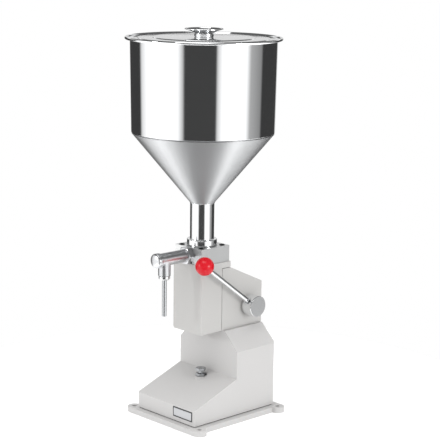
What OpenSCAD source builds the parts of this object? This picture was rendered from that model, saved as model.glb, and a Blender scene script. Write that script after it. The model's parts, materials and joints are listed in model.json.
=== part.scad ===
// Manual paste filling machine: a steel hopper over a valve block, a vertical piston worked by a
// side lever through a rocker arm, a one-way outlet with a nozzle, and a sheet steel base.
// Millimetres, +Z up, the front looks along -Y. The origin is the middle of the four base holes,
// on the underside of the base plate.

/* [Base] */
// Width of the base shell
shell_w = 156; // [150:1:175]
// Depth of the column, face to back
column_l = 97.5; // [90:0.5:110]
// Sheet thickness of the base shell
shell_wall = 3; // [2:0.5:4]
// Corner radius of the base shell seen from above
shell_r = 4; // [3.5:0.5:8]
// Height of the front lip
lip_h = 29; // [24:1:36]
// Height of the ramp where it meets the column
ramp_h = 68.5; // [60:0.5:76]
// Height of the column
column_h = 153.5; // [146:0.5:160]
// Ledge of the column's top beside the housings, where its 45 degree bevels start
top_ledge = 5.6; // [3:0.1:10]
// Distance from the front lip to the face of the column
column_setback = 105.5; // [95:0.5:115]
// Thickness of the base plate
plate_t = 10; // [8:0.5:14]
// How far the base plate stands out past the shell
plate_margin = 12; // [10:0.5:16]
// Radius of a fixing lug
lug_r = 13; // [11:0.5:15]
// Diameter of the fixing holes
lug_hole_d = 9; // [6:0.5:11]
// Thickness of the gasket between plate and shell
gasket_t = 1.5; // [1:0.1:3]

/* [Housing] */
// Distance of the piston axis ahead of the column's face
axis_ahead = 19; // [17:0.5:22]
// Side of the housings beside the cylinder's flange
flange_side = 8.75; // [8:0.25:12]
// Front of the housing ahead of the cylinder's flange
flange_front = 6; // [5:0.5:10]
// Wall of the front housing
housing_wall = 8; // [7:0.5:9]
// Reach of the front housing behind the column's face
step_setback = 18; // [16:0.5:22]
// How far the rear housing stands out past the back of the column
housing_overhang = 4; // [1:0.5:8]
// Seam between the housings, behind the piston axis
seam_reach = 16.5; // [12:0.5:20]
// Width of the open seam
seam_gap = 1.2; // [0.8:0.1:2]
// How far the rear housing's top lies below the front housing's
rear_drop = 12; // [10:0.5:16]
// How far the rear housing's back lies below its top
knee_drop = 39.5; // [20:0.5:44]
// Wall of the rear housing
rear_wall = 4; // [3:0.5:4]
// Vertical corner radius of the housings
housing_r = 6; // [4:0.5:9]

/* [Valve block] */
// How far the block's sides lie inside the housing's
block_inset = 3; // [1:0.5:4]
// How far the block's front lies behind the housing's
block_front_inset = 2.5; // [1:0.5:4]
// How far the block's back lies ahead of the front housing's back
block_back_inset = 1.25; // [0.5:0.25:3]
// Height of the block
block_h = 30; // [29.5:0.5:34]
// Diameter of the valve chamber
chamber_d = 30; // [28:0.5:32]
// Ledge of the inlet seat inside the chamber's wall
inlet_ledge = 4; // [3.5:0.5:6]
// Travel of the inlet valve
inlet_travel = 4; // [2:0.5:4.5]

/* [Hopper] */
// How far the rolled rim stands out past the bowl
rim_over = 9.5; // [8:0.5:14]
// Diameter of the rolled bead
bead_d = 7; // [5:0.5:9]
// Outside diameter of the bowl under the rim
bowl_d = 266; // [240:1:290]
// How far each side of the bowl draws in towards the cone
bowl_taper = 2.5; // [0:0.5:8]
// Height of the bowl, cone to rim
bowl_h = 172.5; // [120:0.5:220]
// Height of the cone
cone_h = 129; // [90:1:150]
// How far the neck lies inside the union nut
neck_inset = 5.75; // [5:0.25:8]
// Height of the cone's small end above the block
neck_h = 79.4; // [50:0.1:100]
// Sheet thickness of the hopper
hopper_wall = 1.2; // [1:0.1:2]
// How far the union nut lies inside the block's sides
union_inset = 7.75; // [6:0.25:9]
// Height of the union nut
union_h = 12; // [11.5:0.5:16]

/* [Lid] */
// Top of the lid knob above the rim
knob_rise = 14.6; // [12:0.1:24]
// Diameter of the flared knob
knob_d = 70; // [50:1:80]
// Diameter of the knob's neck
knob_neck_d = 35; // [26:1:40]
// Sheet thickness of the lid
lid_t = 1.2; // [1:0.1:2]

/* [Outlet] */
// Outside diameter of the outlet tube
tube_d = 24; // [23:0.5:26]
// Wall of the outlet tube
tube_wall = 3; // [2:0.5:3.5]
// Reach of the tube ahead of the piston axis
tube_reach = 104; // [100:1:120]
// Room between the outlet lock nut's flats and the block's edges
outlet_nut_gap = 0.25; // [0.25:0.05:1.5]
// Thickness of the outlet lock nut
outlet_nut_t = 11; // [8:1:14]
// Ledge of the outlet seat inside the tube's bore
outlet_ledge = 3.5; // [3:0.5:4.5]
// Travel of the outlet valve
outlet_travel = 5; // [2:0.5:6]
// How far the cap stands out past the tube
cap_over = 1.5; // [1:0.25:3]
// Length of the cap's cylinder
cap_l = 8; // [6:0.5:12]
// Height of the cap's dome
cap_dome = 4.5; // [3:0.5:8]
// Distance of the nozzle behind the tube's end
nozzle_set = 12.5; // [12:0.5:20]
// How far the nozzle boss lies inside the tube's sides
boss_inset = 0.5; // [0:0.25:1.5]
// Drop of the boss below the tube axis
boss_drop = 29.2; // [26:0.1:36]
// Outside diameter of the nozzle tube
nozzle_d = 8.5; // [7:0.5:9.5]
// Wall of the nozzle tube
nozzle_wall = 1; // [0.8:0.1:1.5]
// Drop of the nozzle tip below the tube axis
nozzle_drop = 105.2; // [80:0.1:125]

/* [Piston] */
// Bore of the piston cylinder
bore_d = 40; // [38:0.5:41]
// Wall of the piston cylinder
cylinder_wall = 5; // [3:0.5:5]
// Length of the piston
piston_l = 14; // [13:0.5:14]
// Stroke of the piston
stroke = 40; // [36:0.5:40]
// Diameter of the piston rod
rod_d = 16; // [14:0.5:16]
// How far the rod stands out of the housing with the piston up
rod_stub = 12; // [6:0.5:14]

/* [Lever] */
// Height of the main shaft above the column
shaft_h = 39.5; // [36:0.5:46]
// Distance from the main shaft to the back of the rear housing
shaft_set = 36; // [30:0.5:44]
// Diameter of the main shaft
shaft_d = 16; // [14:0.5:18]
// Diameter of the crosshead pin
pin_d = 8; // [7:0.5:9]
// Thickness of each plate of the rocker arm
plate_arm_t = 7; // [5:0.5:8]
// Diameter of the handle hub
hub_d = 39.5; // [34:0.5:46]
// Room between the ball and the valve block
ball_clear = 0.5; // [0.5:0.1:4]
// Distance from the main shaft to the middle of the ball
handle_l = 157.6; // [120:0.1:200]
// Rise of the handle at rest, in degrees
handle_angle = 36.6; // [20:0.1:50]
// Diameter of the handle rod
handle_rod_d = 9; // [8:0.5:11]
// Diameter of the ball knob
ball_d = 34; // [30:0.5:42]

/* [Stroke screw] */
// Diameter of the stroke screw
screw_d = 10; // [8:0.5:11]
// Hexagon size of the screw and its lock nut, across flats
hex_af = 17; // [16:1:19]
// Height of the screw head
head_h = 5.2; // [5:0.2:8]
// Bare thread between the lock nut and the head
thread_gap = 4.9; // [2:0.1:12]
// Travel of the stroke screw
screw_travel = 25; // [10:1:25]

/* [Hidden] */
$fn = 64;

// Clearances: a part fixed in a hole, a shaft that turns in a bush, and faces that pass each other
fit = 0.05;
run = 0.05;
pass = 0.3;
// Overrun of a cut past the face it opens
cut = 1;
// Share of a bolt's diameter that its thread core has
core_share = 0.84;
// Faces of a hexagon
hex_faces = 6;

// Heights and places that the pieces share
shell_z = plate_t + gasket_t;
shell_l = column_setback + column_l;
piston_setback = column_setback - axis_ahead;
axis_y = piston_setback - shell_l / 2;
column_y = column_setback - shell_l / 2;
lip_z = shell_z + lip_h;
ramp_z = shell_z + ramp_h;
ramp_angle = atan((ramp_z - lip_z) / column_setback);
column_top = shell_z + column_h;
shaft_z = column_top + shaft_h;

// Rocker end and piston, which set the housing's height from the shaft up
slot_side = 0.35;
rocker_end_wall = 6.5;
rocker_end_r = pin_d / 2 + slot_side + rocker_end_wall;
rocker_head_gap = 4.15;
piston_top_gap = 1;
pin_z = shaft_z + stroke / 2;
cylinder_bottom = pin_z + rocker_end_r + rocker_head_gap;
piston_bottom = cylinder_bottom + stroke;
piston_top = piston_bottom + piston_l;
housing_top = piston_top + piston_top_gap;
housing_h = housing_top - column_top;
block_top = housing_top + block_h;
outlet_z = housing_top + block_h / 2;
cone_z = block_top + neck_h;
bowl_z = cone_z + cone_h;
rim_z = bowl_z + bowl_h;

// Cylinder and its flange, and the widths and reaches that follow from them
cylinder_d = bore_d + 2 * cylinder_wall;
flange_over = 5;
flange_d = cylinder_d + 2 * flange_over;
housing_w = flange_d + 2 * flange_side;
housing_front = flange_d / 2 + flange_front;
housing_step = axis_ahead + step_setback;
housing_back = axis_ahead + column_l + housing_overhang;
rear_h = housing_h - rear_drop;
knee_h = rear_h - knee_drop;
arm_l = housing_back - shaft_set;
shaft_y = axis_y + arm_l;
seam_y = axis_y + seam_reach;
step_y = axis_y + housing_step;
column_bevel = shell_w / 2 - housing_w / 2 - top_ledge;
block_w = housing_w - 2 * block_inset;
block_front = housing_front - block_front_inset;
block_back = housing_step - block_back_inset;
union_d = block_w - 2 * union_inset;
neck_d = union_d - 2 * neck_inset;
plate_w = shell_w + 2 * plate_margin;
plate_l = shell_l + 2 * plate_margin;

// Base screws, M6 countersunk, into blocks in the corners of the shell
base_screw_d = 6;
base_screw_head_d = 12;
base_screw_head_h = 3;
base_screw_sink = 0.5;
corner_block = 22;
corner_block_h = 16;
corner_place = [shell_w / 2 - shell_wall - corner_block / 2, shell_l / 2 - shell_wall - corner_block / 2];
base_screw_bite_share = 0.75;
base_screw_l = plate_t + gasket_t + corner_block_h * base_screw_bite_share - base_screw_sink;
base_screw_hex = 3.6;
base_screw_hex_h = 2.4;
gasket_inset = 1.5;
gasket_w = 20;

// Front housing: floor, roof and cavity
floor_t = 8;
roof_t = 12;
cavity_w = housing_w - 2 * housing_wall;
cavity_z = column_top + floor_t;
cavity_top = housing_top - roof_t;
rear_top = column_top + rear_h;
neck_w = housing_w - 2 * (rear_wall + pass);

// Housing screws, M6 hexagon heads under the top of the column
housing_screw_d = 6;
housing_screw_af = 10;
housing_screw_head = 4;
housing_screw_grip = 15;
front_screw_x = cavity_w / 2 - 2 * pass - housing_screw_d;
front_screw_y = (column_y + shell_wall + step_y) / 2;
rear_post_d = 14;
rear_post_h = 20;
rear_post_gap = 1;
rear_hole_share = 0.8;
rear_bite_share = 0.7;
rear_post_x = housing_w / 2 - rear_wall - rear_post_d / 2;
rear_post_y = shell_l / 2 - shell_wall - rear_post_d / 2 - rear_post_gap;

// Flange of the piston cylinder and its face seal
flange_t = 4;
seal_d = 2.2;
face_groove_w = seal_d + 2 * pass;
face_groove_r = (bore_d + cylinder_d) / 4;

// Piston details
piston_ring_d = 3;
piston_ring_share = [0.28, 0.72];
piston_nut_af = 16;
piston_nut_t = 6;
piston_pocket = piston_nut_t + pass;
piston_pocket_side = 3;
piston_spigot_d = 10;
rod_bottom = column_top - rod_stub;
guide_wall = 3;
guide_flange_t = 2;
guide_flange_w = 3;

// Rocker arm: two plates joined at the hub, with open slots for the crosshead pin
rocker_angle = atan(stroke / 2 / arm_l);
rocker_reach = arm_l / cos(rocker_angle);
fork_side = 1;
fork_gap = rod_d + 2 * fork_side;
fork_w = fork_gap + 2 * plate_arm_t;
rocker_hub_wall = 9;
rocker_hub_d = shaft_d + 2 * rocker_hub_wall;
rocker_hub_over = 4;
rocker_hub_w = fork_w + 2 * rocker_hub_over;
rocker_web_t = 10;
rocker_web_l = 30;
rocker_pin_d = 5;
clip_t = 1.2;
clip_rise = 2.5;
pin_over = 1.5;
pin_l = fork_w + 2 * (pass + clip_t + pin_over);

// Shaft bushes, with flanges outside the rear housing
bush_wall = 3;
bush_flange_t = 2.5;
bush_flange_w = 3.5;
bush_end_gap = 4.75;
bush_post = housing_w / 2 - rear_wall - rocker_hub_w / 2 - bush_end_gap;
bush_post_wall = 5;
bush_post_d = shaft_d + 2 * (bush_wall + bush_post_wall);
hub_gap = 0.5;
hub_x = housing_w / 2 + bush_flange_t + hub_gap;
rod_x = block_w / 2 + ball_d / 2 + ball_clear;
hub_l = 2 * (rod_x - hub_x);
hub_blind = 5;
shaft_over = 2.5;
shaft_left = housing_w / 2 + bush_flange_t + pass + clip_t + shaft_over;
shaft_right = hub_x + hub_l - hub_blind;
hub_counterbore_w = 2;
hub_counterbore_d = handle_rod_d + 2 * hub_counterbore_w;
hub_counterbore_h = 5;
hub_chamfer = 0.6;
set_screw_d = 8;
set_screw_sink = 1;
rod_root_gap = 1;
rod_root = shaft_d / 2 + rod_root_gap;
insert_wall = 2.5;
insert_l = 18;
ball_flat_share = 0.93;

// Stroke screw, its lock nut and the boss in the ramp
hex_nut_t = 5.5;
screw_boss_d = 24;
screw_boss_h = 14;
screw_grip = 11.6;
screw_l = hex_nut_t + thread_gap + screw_travel + screw_grip;
screw_seat_z = lip_z + piston_setback * tan(ramp_angle);
nut_top_z = screw_seat_z + hex_nut_t;
screw_head_z = nut_top_z + thread_gap;
hex_round_share = 0.12;

// Valve block: union stub, inlet seat, chamber, cage and outlet port
union_wall = 2.5;
stub_d = union_d - 2 * union_wall;
stub_step = 2.5;
stub_bore = neck_d - 2 * stub_step;
stub_h = 6;
union_seal_t = 1.5;
neck_flange_gap = 0.5;
neck_flange_d = stub_d - 2 * neck_flange_gap;
neck_flange_t = 2.5;
union_lift = 0.4;
union_chamfer = 0.8;
union_seal_lap = 0.5;
seat_ledge = 3;
seat_d = chamber_d + 2 * seat_ledge;
seat_t = 6;
seat_lip = 3;
seat_chamfer = 1;
seat_cover = 5.5;
chamber_top = block_top - seat_cover - seat_t;
cage_ledge = 2;
cage_d = chamber_d + 2 * cage_ledge;
cage_t = 4;
cage_rim = 2.5;
cage_hub_d = 9.6;
cage_hub_h = 8;
cage_spoke = 3;
cage_spokes = 3;
inlet_d = chamber_d - 2 * inlet_ledge;
inlet_lap = 2.5;
inlet_disc_d = inlet_d + 2 * inlet_lap;
inlet_disc_t = 3;
inlet_stem_d = 6;
inlet_stem_gap = 2;
inlet_stem_l = chamber_top - housing_top - inlet_disc_t - inlet_travel - inlet_stem_gap;
spring_wire = 1.2;
coil_end_gap = 0.6;
inlet_coil_r = 6;
inlet_turns = 4;
port_d = 11;
port_drop = 3;
socket_depth = 8;
pocket_depth = 3;
block_screw_d = 6;
block_screw_head_d = 10;
block_screw_head_h = 6;
block_screw_sink = 3.5;
block_screw_hex = 5;
block_screw_edge = 9.75;
block_screw_front = 7.5;
block_screw_place = [block_w / 2 - block_screw_edge, block_front - block_screw_front];
block_screw_bite = 9;

// Outlet: tube end wall, valve, spring, cap spigot and nozzle
tube_bore = tube_d - 2 * tube_wall;
outlet_d = tube_bore - 2 * outlet_ledge;
outlet_nut_af = block_h - 2 * outlet_nut_gap;
cap_d = tube_d + 2 * cap_over;
cap_chamfer = 0.6;
boss_d = tube_d - 2 * boss_inset;
nozzle_reach = tube_reach - nozzle_set;
nozzle_bore = nozzle_d - 2 * nozzle_wall;
tube_back = block_front - socket_depth;
seat_wall = 3;
outlet_disc_gap = 1.5;
outlet_disc_d = tube_bore - 2 * outlet_disc_gap;
outlet_disc_t = 3;
outlet_guide_d = 8;
outlet_guide_over = 1;
outlet_guide_l = outlet_travel + outlet_guide_over;
spigot_l = 6;
outlet_coil_r = 5.4;
outlet_turns = 11;
cap_seal_d = 1.6;
boss_port_d = 10;
nozzle_nut_inset = 1;
nozzle_nut_d = boss_d - 2 * nozzle_nut_inset;
nozzle_nut_t = 7;
nozzle_nut_chamfer = 2.5;
nozzle_nut_edge = 1;
nozzle_spigot_d = 14;
nozzle_spigot_l = 9;
nozzle_seal_t = 1;
nozzle_seal_inset = 1.5;
nozzle_z = outlet_z - boss_drop;
nozzle_shank_step = 0.45;
nozzle_shank_d = nozzle_d - 2 * nozzle_shank_step;

// Hopper and lid
rim_d = bowl_d + 2 * rim_over;
cone_fillet = 4;
neck_fillet = 3;
rim_flare = 9;
lid_edge_r = rim_d / 2 - bead_d - pass;
lid_skirt_h = 8;
lid_skirt_gap = 1;
lid_skirt_r = bowl_d / 2 - hopper_wall - lid_skirt_gap;
lid_step_share = 0.87;
lid_ring_share = 0.68;
lid_step_h = 1.8;
lid_ring_h = 1.2;
lid_slope = 2.5;
lid_edge_z = rim_z - bead_d / 2;
lid_top = lid_edge_z + lid_step_h + lid_ring_h;
knob_top = rim_z + knob_rise;
knob_edge_t = 1.2;
knob_dish_share = 0.45;
knob_neck_share = 0.42;
knob_hole_share = 0.45;
knob_grip_share = 0.4;
knob_foot = 1;
knob_screw_d = 6;
knob_screw_head_d = 14;
knob_screw_head_h = 4;
knob_screw_dish = 2;
knob_slot_w = 1.6;

// Corner arc of radius r at the point b on the way from a to c, in n steps
function unit(v) = v / norm(v);
function arc_at(a, b, c, r, n = 6) =
    let (u = unit(a - b), w = unit(c - b), half = acos(u * w) / 2,
         centre = b + unit(u + w) * r / sin(half),
         start = b + u * r / tan(half) - centre,
         side = cross([u[0], u[1], 0], [w[0], w[1], 0])[2] > 0 ? -1 : 1,
         sweep = side * (180 - 2 * half))
    [for (i = [0:n]) let (t = sweep * i / n)
        centre + [start[0] * cos(t) - start[1] * sin(t), start[0] * sin(t) + start[1] * cos(t)]];

// Rectangle with round corners, true arcs
module round_rect(w, l, r) {
    square([w - 2 * r, l], center = true);
    square([w, l - 2 * r], center = true);
    for (x = [-1, 1], y = [-1, 1]) translate([x * (w / 2 - r), y * (l / 2 - r)]) circle(r);
}

// Side profile in Y and Z, drawn out to both sides of the middle plane
module across(w) rotate([90, 0, 90]) linear_extrude(w, center = true) children();

// Front profile in X and Z, drawn out along Y about the middle
module along(l) rotate([90, 0, 0]) linear_extrude(l, center = true) children();

// Stand the children on the piston axis, with z as their floor
module on_axis(z = 0) translate([0, axis_y, z]) children();

// Turn the children's Z axis towards the front, from the outlet's height on the piston axis
module to_front(reach = 0) translate([0, axis_y - reach, outlet_z]) rotate([90, 0, 0]) children();

// Children drawn in the plane of the handle, with their Z axis out along the rod
module along_handle(x) translate([x, shaft_y, shaft_z]) rotate([90 - handle_angle, 0, 0]) children();

// Hexagon bar with its height along Z
module hex_bar(af, h) cylinder(h = h, d = af / cos(30), $fn = hex_faces);

// Hexagon whose ends are turned to a cone, as on a nut or a bolt head
module turned_hex(af, h, chamfer) {
    over = af / cos(30);
    intersection() {
        hex_bar(af, h);
        union() {
            cylinder(h = chamfer, d1 = af, d2 = over + cut / 4);
            translate([0, 0, chamfer]) cylinder(h = h - 2 * chamfer, d = over + cut / 4);
            translate([0, 0, h - chamfer]) cylinder(h = chamfer, d1 = over + cut / 4, d2 = af);
        }
    }
}

// Ring with a round section of diameter t, whose middle line has the radius r
module o_ring(r, t) rotate_extrude() translate([r, 0]) circle(d = t, $fn = 32);

// Ring with a square section, open by the angle gap, as a retaining clip
module clip(inner, outer, t, gap) {
    difference() {
        cylinder(h = t, d = outer);
        translate([0, 0, -cut]) cylinder(h = t + 2 * cut, d = inner);
        translate([0, 0, -cut]) linear_extrude(t + 2 * cut)
            polygon([[0, 0], [outer, outer * tan(gap / 2)], [outer, -outer * tan(gap / 2)]]);
    }
}

// Coil spring of round wire: middle radius r, total height h, closed end turns. It prints the least
// gap between its turns, measured from point to point along the middle of the wire.
module coil(r, wire, h, turns, ring = 12, sides = 6) {
    steps = turns * ring;
    lead = wire + coil_end_gap;
    total = h - wire;
    function rise(i) = i <= ring ? lead * i / ring
        : i >= steps - ring ? total - lead * (steps - i) / ring
        : lead + (total - 2 * lead) * (i - ring) / (steps - 2 * ring);
    mids = [for (i = [0:steps]) [r * cos(360 * i / ring), r * sin(360 * i / ring), wire / 2 + rise(i)]];
    gaps = [for (i = [0:steps], j = [i + ring / 2:1:steps]) norm(mids[i] - mids[j]) - wire];
    echo(str("Least gap in a spring of ", turns, " turns: ", min(gaps)));
    points = [for (i = [0:steps], k = [0:sides - 1]) let (a = 360 * i / ring, b = 360 * k / sides,
        q = r + wire / 2 * cos(b))
        [q * cos(a), q * sin(a), mids[i][2] + wire / 2 * sin(b)]];
    faces = concat(
        [[for (k = [0:sides - 1]) k]],
        [for (i = [0:steps - 1], k = [0:sides - 1]) let (n = (k + 1) % sides)
            [i * sides + k, (i + 1) * sides + k, i * sides + n]],
        [for (i = [0:steps - 1], k = [0:sides - 1]) let (n = (k + 1) % sides)
            [i * sides + n, (i + 1) * sides + k, (i + 1) * sides + n]],
        [[for (k = [sides - 1:-1:0]) steps * sides + k]]);
    polyhedron(points, faces, convexity = 4);
}

// Base

module plate_outline() {
    square([plate_w, plate_l], center = true);
    for (x = [-1, 1], y = [-1, 1]) translate([x * plate_w / 2, y * (plate_l / 2 - lug_r)]) circle(lug_r);
}

module at_corners() for (x = [-1, 1], y = [-1, 1])
    translate([x * corner_place[0], y * corner_place[1], 0]) children();

module base_plate() {
    color("#d6d5d2") difference() {
        linear_extrude(plate_t) plate_outline();
        for (x = [-1, 1], y = [-1, 1])
            translate([x * plate_w / 2, y * (plate_l / 2 - lug_r), -cut])
                cylinder(h = plate_t + 2 * cut, d = lug_hole_d);
        at_corners() {
            translate([0, 0, -cut]) cylinder(h = plate_t + 2 * cut, d = base_screw_d + 2 * fit);
            translate([0, 0, -cut]) cylinder(h = cut + base_screw_sink, d = base_screw_head_d + 2 * fit);
            translate([0, 0, base_screw_sink])
                cylinder(h = base_screw_head_h, d1 = base_screw_head_d + 2 * fit,
                    d2 = base_screw_d + 2 * fit);
        }
    }
}

module base_gasket() {
    color("#2b2b2b") translate([0, 0, plate_t]) difference() {
        linear_extrude(gasket_t) difference() {
            round_rect(shell_w - 2 * gasket_inset, shell_l - 2 * gasket_inset, shell_r - gasket_inset);
            square([shell_w - 2 * gasket_w, shell_l - 2 * gasket_w], center = true);
        }
        at_corners() translate([0, 0, -cut]) cylinder(h = gasket_t + 2 * cut, d = base_screw_d + 2 * fit);
    }
}

module base_screws() {
    color("#8c8c8c") at_corners() translate([0, 0, base_screw_sink]) difference() {
        union() {
            cylinder(h = base_screw_head_h, d1 = base_screw_head_d, d2 = base_screw_d);
            cylinder(h = base_screw_l, d = base_screw_d);
        }
        translate([0, 0, -cut]) hex_bar(base_screw_hex, cut + base_screw_hex_h);
    }
}

// Outside of the shell, drawn in by the distance t on every face but the floor
module shell_form(t) {
    drop = t / cos(ramp_angle) - t * tan(ramp_angle);
    miter = t * tan(22.5);
    shoulder = column_top - column_bevel;
    intersection() {
        translate([0, 0, shell_z]) linear_extrude(column_h - t)
            round_rect(shell_w - 2 * t, shell_l - 2 * t, shell_r - t / 2);
        across(shell_w) polygon([
            [t - shell_l / 2, shell_z], [t - shell_l / 2, lip_z - drop], [column_y + t, ramp_z - drop],
            [column_y + t, column_top - t], [shell_l / 2 - t, column_top - t], [shell_l / 2 - t, shell_z]]);
        along(shell_l) polygon([
            [shell_w / 2 - t, shell_z], [shell_w / 2 - t, shoulder - miter],
            [shell_w / 2 - column_bevel - miter, column_top - t],
                [column_bevel + miter - shell_w / 2, column_top - t],
            [t - shell_w / 2, shoulder - miter], [t - shell_w / 2, shell_z]]);
    }
}

module at_housing_screws() {
    for (x = [-1, 1]) {
        translate([x * front_screw_x, front_screw_y, 0]) children();
        translate([x * rear_post_x, rear_post_y, 0]) children();
    }
}

module base_shell() {
    color("#d2d1ce") difference() {
        union() {
            difference() {
                shell_form(0);
                translate([0, 0, -cut]) shell_form(shell_wall);
                shell_form(shell_wall);
            }
            intersection() {
                shell_form(0);
                at_corners() translate([0, 0, shell_z + corner_block_h / 2])
                    cube([corner_block + shell_wall, corner_block + shell_wall, corner_block_h],
                        center = true);
            }
        }
        at_corners() translate([0, 0, shell_z - cut])
            cylinder(h = corner_block_h + 2 * cut, d = base_screw_d + 2 * fit);
        at_housing_screws() translate([0, 0, column_top - shell_wall - cut])
            cylinder(h = shell_wall + 2 * cut, d = housing_screw_d + 2 * fit);
        on_axis(shell_z) cylinder(h = ramp_z, d = screw_boss_d + 2 * fit);
    }
}

// Front housing

module front_plan(back) {
    front = axis_y - housing_front;
    translate([0, (front + housing_r + back) / 2])
        square([housing_w, back - front - housing_r], center = true);
    translate([0, front + housing_r]) square([housing_w - 2 * housing_r, 2 * housing_r], center = true);
    for (x = [-1, 1]) translate([x * (housing_w / 2 - housing_r), front + housing_r]) circle(housing_r);
}

module front_housing() {
    front = axis_y - housing_front;
    color("#d2d1ce") difference() {
        union() {
            translate([0, 0, column_top]) linear_extrude(housing_h) front_plan(seam_y - seam_gap);
            translate([0, 0, rear_top + seam_gap]) linear_extrude(housing_top - rear_top - seam_gap)
                front_plan(step_y);
            translate([-neck_w / 2, seam_y - 2 * seam_gap, column_top])
                cube([neck_w, step_y - seam_y + 2 * seam_gap, rear_h - rear_wall - pass]);
        }
        translate([-cavity_w / 2, front + housing_wall, cavity_z])
            cube([cavity_w, housing_front + housing_step, rear_h - rear_wall - floor_t]);
        translate([-cavity_w / 2, front + housing_wall, cavity_z])
            cube([cavity_w, seam_y - front - housing_wall, cavity_top - cavity_z]);
        on_axis(cylinder_bottom) cylinder(h = housing_top, d = cylinder_d + 2 * fit);
        on_axis(housing_top - flange_t) cylinder(h = flange_t + cut, d = flange_d + 2 * fit);
        on_axis(column_top - cut) cylinder(h = floor_t + 2 * cut, d = rod_d + 2 * guide_wall + 2 * fit);
        for (x = [-1, 1]) translate([x * front_screw_x, front_screw_y, column_top - cut])
            cylinder(h = floor_t + 2 * cut, d = housing_screw_d + 2 * fit);
        at_block_screws() translate([0, 0, housing_top - block_screw_bite - cut])
            cylinder(h = block_screw_bite + 2 * cut, d = block_screw_d + 2 * fit);
    }
}

// Rear housing

module rear_profile(t) {
    back = axis_y + housing_back;
    slope = atan((rear_h - knee_h) / (housing_back - housing_step));
    lean = t * tan(slope / 2);
    knee = t / cos(slope) - t * tan(slope);
    polygon([
        [seam_y, column_top], [seam_y, rear_top - t], [step_y - lean, rear_top - t],
        [back - t, column_top + knee_h - knee], [back - t, column_top]]);
}

module rear_form(t) {
    back = axis_y + housing_back;
    depth = back - seam_y + 2 * housing_r;
    intersection() {
        across(housing_w - 2 * t) rear_profile(t);
        translate([0, back - t - depth / 2, column_top])
            linear_extrude(rear_h) round_rect(housing_w - 2 * t, depth, housing_r - t / 2);
    }
}

module rear_housing() {
    color("#d2d1ce") difference() {
        union() {
            difference() {
                rear_form(0);
                translate([0, 0, -cut]) rear_form(rear_wall);
                rear_form(rear_wall);
                translate([0, -cut, 0]) rear_form(rear_wall);
            }
            for (x = [-1, 1]) {
                translate([x * (housing_w / 2 - rear_wall - bush_post / 2), shaft_y, shaft_z])
                    rotate([0, 90, 0]) cylinder(h = bush_post + 2 * fit, d = bush_post_d, center = true);
                translate([x * rear_post_x, rear_post_y, column_top])
                    cylinder(h = rear_post_h, d = rear_post_d);
                translate([x * (rear_post_x + rear_post_d / 4), rear_post_y, column_top + rear_post_h / 2])
                    cube([rear_post_d / 2 + fit, rear_post_d, rear_post_h], center = true);
            }
        }
        on_axis(rear_top - rear_wall - cut) cylinder(h = rear_wall + 2 * cut, d = cylinder_d + 2 * pass);
        translate([0, shaft_y, shaft_z]) rotate([0, 90, 0])
            cylinder(h = housing_w + 2 * cut, d = shaft_d + 2 * bush_wall + 2 * fit, center = true);
        for (x = [-1, 1]) translate([x * rear_post_x, rear_post_y, column_top - cut])
            cylinder(h = rear_post_h * rear_hole_share, d = housing_screw_d + 2 * fit);
    }
}

module housing_screws() {
    color("#8c8c8c") for (x = [-1, 1]) {
        translate([x * front_screw_x, front_screw_y, 0]) housing_screw(floor_t);
        translate([x * rear_post_x, rear_post_y, 0]) housing_screw(rear_post_h * rear_bite_share);
    }
}

module housing_screw(bite) {
    translate([0, 0, column_top - shell_wall - housing_screw_head])
        turned_hex(housing_screw_af, housing_screw_head, housing_screw_head * hex_round_share);
    translate([0, 0, column_top - shell_wall - fit]) cylinder(h = shell_wall + bite, d = housing_screw_d);
}

// Valve block

module at_block_screws() {
    for (x = [-1, 1], y = [-1, 1])
        translate([x * block_screw_place[0], axis_y + y * block_screw_place[1], 0]) children();
}

module valve_block() {
    color("#b9bbbd") difference() {
        union() {
            translate([-block_w / 2, axis_y - block_front, housing_top])
                cube([block_w, block_front + block_back, block_h]);
            on_axis(block_top - cut) cylinder(h = stub_h + cut, d = stub_d);
        }
        on_axis(housing_top - cut) cylinder(h = chamber_top - housing_top + 2 * cut, d = chamber_d);
        on_axis(housing_top - cut) cylinder(h = cage_t + cut, d = cage_d + 2 * fit);
        on_axis(chamber_top) cylinder(h = seat_t + cut, d = seat_d + 2 * fit);
        on_axis(chamber_top + seat_t) cylinder(h = block_h, d = stub_bore);
        translate([0, 0, -port_drop]) to_front(0) cylinder(h = block_front, d = port_d);
        to_front(tube_back) cylinder(h = socket_depth + cut, d = tube_d + 2 * fit);
        to_front(tube_back - pocket_depth) cylinder(h = pocket_depth + cut, d = tube_bore);
        at_block_screws() {
            translate([0, 0, housing_top - cut])
                cylinder(h = block_h + 2 * cut, d = block_screw_d + 2 * fit);
            translate([0, 0, block_top - block_screw_sink])
                cylinder(h = block_h, d = block_screw_head_d + 2 * fit);
        }
    }
}

module block_screws() {
    color("#4a4b4d") at_block_screws() difference() {
        union() {
            translate([0, 0, housing_top - block_screw_bite])
                cylinder(h = block_screw_bite + block_h - block_screw_sink, d = block_screw_d);
            translate([0, 0, block_top - block_screw_sink])
                cylinder(h = block_screw_head_h, d = block_screw_head_d);
        }
        translate([0, 0, block_top - block_screw_sink + block_screw_head_h / 2])
            hex_bar(block_screw_hex, block_screw_head_h);
    }
}

module inlet_seat() {
    color("#c9cacb") on_axis(chamber_top) rotate_extrude() polygon([
        [inlet_d / 2, 0], [seat_d / 2, 0], [seat_d / 2, seat_t], [stub_bore / 2 - seat_lip, seat_t],
        [inlet_d / 2 + seat_chamfer, seat_t / 2], [inlet_d / 2, seat_t / 2]]);
}

module inlet_valve() {
    color("#e8e4da") on_axis(chamber_top - inlet_disc_t) {
        cylinder(h = inlet_disc_t, d = inlet_disc_d);
        translate([0, 0, -inlet_stem_l]) cylinder(h = inlet_stem_l + fit, d = inlet_stem_d);
    }
}

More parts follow.
